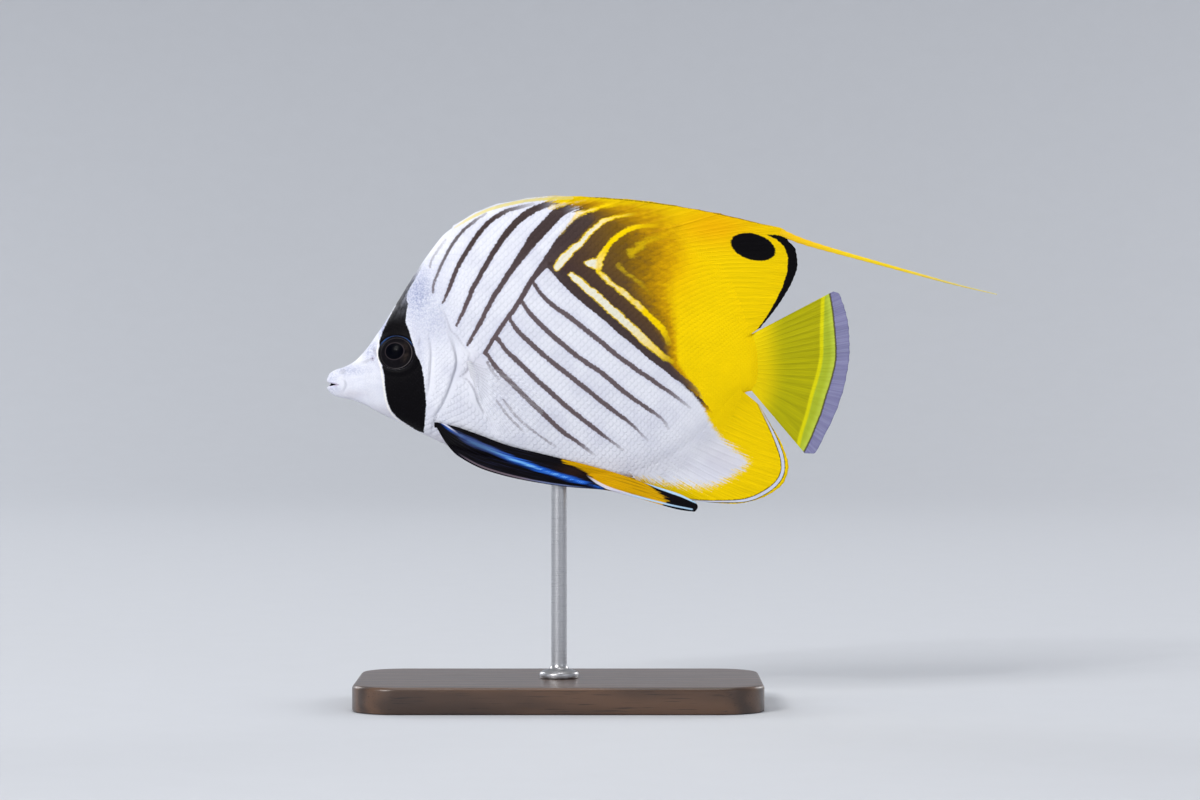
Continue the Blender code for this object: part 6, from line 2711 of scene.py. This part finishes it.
@dataclass
class Stand:
    """The flat base and the turned rod that carries the fish."""

    form: BodyForm
    base_size: tuple[float, float, float] = (124.0, 72.0, 8.0)
    base_corner: float = 14.0
    base_round: float = 1.2
    base_foot: Points = ((2.0, 0.0), (0.45, 0.0), (0.12, 0.12), (0.0, 0.45))
    rod_radius: float = 2.4
    rod_top: Points = ((1.0, -0.5), (0.97, 0.4), (0.5, 1.2))
    rod_sink: float = 1.4
    sides: int = 64
    foot: Points = ((0.2, 0.0), (5.7, 0.0), (5.93, 0.1), (6.0, 0.35), (6.0, 1.3), (5.9, 1.65), (5.6, 1.9),
                    (5.2, 2.2), (4.4, 2.45), (3.6, 2.7), (3.0, 3.0), (2.6, 3.5), (2.45, 4.1), (2.4, 4.8))

    def base(self, material: bpy.types.Material) -> bpy.types.Object:
        """Builds the base.

        Args:
            material: Its material.

        Returns:
            The base.
        """
        length, width, height = self.base_size
        bend = np.linspace(0, math.pi / 2, 9)
        inset = self.base_round * (1 - np.cos(bend))
        level = height - self.base_round * (1 - np.sin(bend))
        flat = [(6.0, height), (self.base_corner - 0.5, height)]
        quarter = np.linspace(0, math.pi / 2, 17)
        angle = np.concatenate([quarter + math.pi / 2 * number for number in range(4)])
        way = np.stack([np.cos(angle), np.sin(angle)], axis=1)
        corner = (length / 2 - self.base_corner, width / 2 - self.base_corner)
        middle = np.repeat([(1, 1), (-1, 1), (-1, -1), (1, -1)], len(quarter), axis=0) * corner
        rings = [
            np.insert(middle + way * (self.base_corner - inwards), 2, z, axis=1)
            for inwards, z in (*self.base_foot, *zip(inset, level), *flat)
        ]
        bottom = np.array([ROD_X, 0.0, -MOUTH_HEIGHT])
        points, faces = lofted(np.array(rings) + bottom, bottom, bottom + (0.0, 0.0, height))
        return make_piece("base", points, faces, material)

    def rod(self, material: bpy.types.Material) -> bpy.types.Object:
        """Builds the rod, whose top meets the belly.

        Args:
            material: Its material.

        Returns:
            The rod.
        """
        floor = self.base_size[2] - MOUTH_HEIGHT
        turn = turns(self.sides)
        circle = np.stack([np.cos(turn), np.sin(turn)], axis=1)
        rings = [
            np.insert(circle * radius + (ROD_X, 0.0), 2, floor + height, axis=1)
            for radius, height in self.foot
        ]
        for share, sink in self.rod_top:
            flat = circle * self.rod_radius * share + (ROD_X, 0.0)
            rings.append(np.insert(flat, 2, [self.belly_at(x, y) + sink for x, y in flat], axis=1))
        last = float(self.form.belly(ROD_X)) + self.rod_sink
        ends = np.array([(ROD_X, 0.0, floor), (ROD_X, 0.0, last)])
        points, faces = lofted(np.array(rings), *ends)
        return make_piece("rod", points, faces, material)

    def belly_at(self, x: float, y: float) -> float:
        """Lowest height of the skin over a point under the belly.

        Args:
            x: Distance back from the snout.
            y: Distance from the middle plane.

        Returns:
            The height.
        """
        z = np.linspace(self.form.belly(x), self.form.belly(x) + 12.0, 400)
        return float(np.interp(abs(y), self.form.plain(np.full(400, x), z, head=False), z))

    def build(self, wood: bpy.types.Material, steel: bpy.types.Material) -> None:
        """Args:
            wood: The base's material.
            steel: The rod's material.
        """
        declare(self.base(wood), "base_wood", "stand_base")
        declare(self.rod(steel), "rod_steel", "stand_rod")


@dataclass
class Studio:
    """The camera, the soft lights and the dished floor."""

    aim: tuple[float, float, float] = (0.01254, 0.0, 0.0931)
    distance: float = 1.2
    sensor: float = 36.0
    view_width: float = 0.3672
    rise_deg: float = 0.8
    floor_radius: float = 4.2
    floor_flat: float = 1.5
    floor_height: float = 2.6
    floor_gap: float = 0.1
    floor_sides: int = 96
    room_colour: Colour = (0.93, 0.95, 1.0)
    room_light: float = 0.36
    lights: tuple[tuple[str, tuple[float, float, float], float, float, Colour], ...] = (
        ("key", (-1.3, -1.7, 1.5), 1.0, 32.0, (1.0, 0.985, 0.96)),
        ("fill", (1.7, -1.9, 0.5), 1.6, 8.0, (0.95, 0.97, 1.0)),
        ("top", (0.1, 0.1, 2.1), 1.2, 15.0, (1.0, 1.0, 1.0)),
        ("spark", (-1.25, -1.9, 1.25), 0.08, 7.0, (1.0, 1.0, 1.0)),
        ("rear_left", (-1.5, 1.6, 1.0), 1.1, 13.0, (0.96, 0.98, 1.0)),
        ("rear_right", (1.6, 1.7, 0.9), 1.1, 13.0, (1.0, 0.98, 0.96)),
    )

    def camera(self) -> None:
        """Places the camera level with the fish's left flank."""
        data = bpy.data.cameras.new("portrait")
        data.sensor_width = self.sensor
        data.lens = self.sensor * self.distance / self.view_width
        data.clip_start, data.clip_end = 0.01, 20.0
        camera = add_object("portrait", data)
        rise = math.radians(self.rise_deg)
        back = np.array([0.0, -math.cos(rise), math.sin(rise)]) * self.distance
        camera.location = tuple(np.array(self.aim) + back)
        camera.rotation_euler = (math.pi / 2 - rise, 0.0, 0.0)
        bpy.context.scene.camera = camera

    def floor(self, material: bpy.types.Material) -> None:
        """Builds the round floor, which rises at its rim into a backdrop on every side.

        Args:
            material: Its material.
        """
        radii = np.concatenate([[0.05], np.linspace(0.3, self.floor_radius, 48)])
        rise = smoothstep(radii, self.floor_flat, self.floor_radius) ** 1.4 * self.floor_height
        turn = turns(self.floor_sides)
        level = np.repeat(rise[:, None], self.floor_sides, axis=1)
        rings = np.stack([np.outer(radii, np.cos(turn)), np.outer(radii, np.sin(turn)), level], 2)
        middle = np.array([ROD_X, 0.0, -MOUTH_HEIGHT - self.floor_gap])
        points = np.concatenate([rings.reshape(-1, 3) / MM + middle, middle[None]])
        fan = fan_faces(np.arange(self.floor_sides), len(points) - 1)
        quads = grid_faces(len(radii), self.floor_sides, closed=True)
        floor = make_piece("floor", points, [quads, fan], material)
        if floor.data.polygons[0].normal.z < 0:
            floor.data.flip_normals()

    def lamps(self) -> None:
        """Hangs the soft lights and sets the pale room light."""
        aim = np.array(self.aim)
        for name, place, size, power, colour in self.lights:
            data = bpy.data.lights.new(name, "AREA")
            data.shape = "DISK"
            data.size, data.energy, data.color = size, power, colour
            lamp = add_object(name, data)
            lamp.location = place
            way = aim - np.array(place)
            flat = math.hypot(way[0], way[1])
            heading = math.atan2(way[1], way[0]) - math.pi / 2
            lamp.rotation_euler = (math.atan2(flat, -way[2]), 0.0, heading)
        world = bpy.data.worlds.new("room")
        world.use_nodes = True
        sky = world.node_tree.nodes["Background"]
        sky.inputs["Color"].default_value = (*self.room_colour, 1.0)
        sky.inputs["Strength"].default_value = self.room_light
        bpy.context.scene.world = world

    def build(self) -> None:
        """Sets up the studio."""
        self.camera()
        self.floor(FloorFinish().material())
        self.lamps()
        bpy.context.scene.view_settings.view_transform = "Standard"
        log.info("studio: camera %.2f m from the fish, %d lights", self.distance, len(self.lights))


def main() -> None:
    """Dresses the model, piece by piece."""
    logging.basicConfig(level=logging.INFO, format="%(name)s: %(message)s")
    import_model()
    form, markings = BodyForm(), Markings()
    Studio().build()
    skin = Skin(form, markings).build(FleshFinish("flesh_skin").material())
    declare(skin, "skin_white", "head", "torso", "tail_stalk")
    fin_flesh = FleshFinish("flesh_fin", streaked=True).material()
    fins = MedianFins(form, markings).build(
        fin_flesh, TailFinish().material(), ThreadFinish().material()
    )
    ScaleCoat(form, markings).build(
        [skin, *fins], FleshFinish("flesh_scale", grain_depth=0.00003).material()
    )
    Eyes(form).build(EyeFinish().material(), OrbitFinish().material())
    Snout(form).build(LipFinish().material())
    PairedFins(form).build(ClearFinish().material(), PelvicFinish().material())
    Stand(form).build(WalnutFinish().material(), SteelFinish().material())


if __name__ == "__main__":
    main()
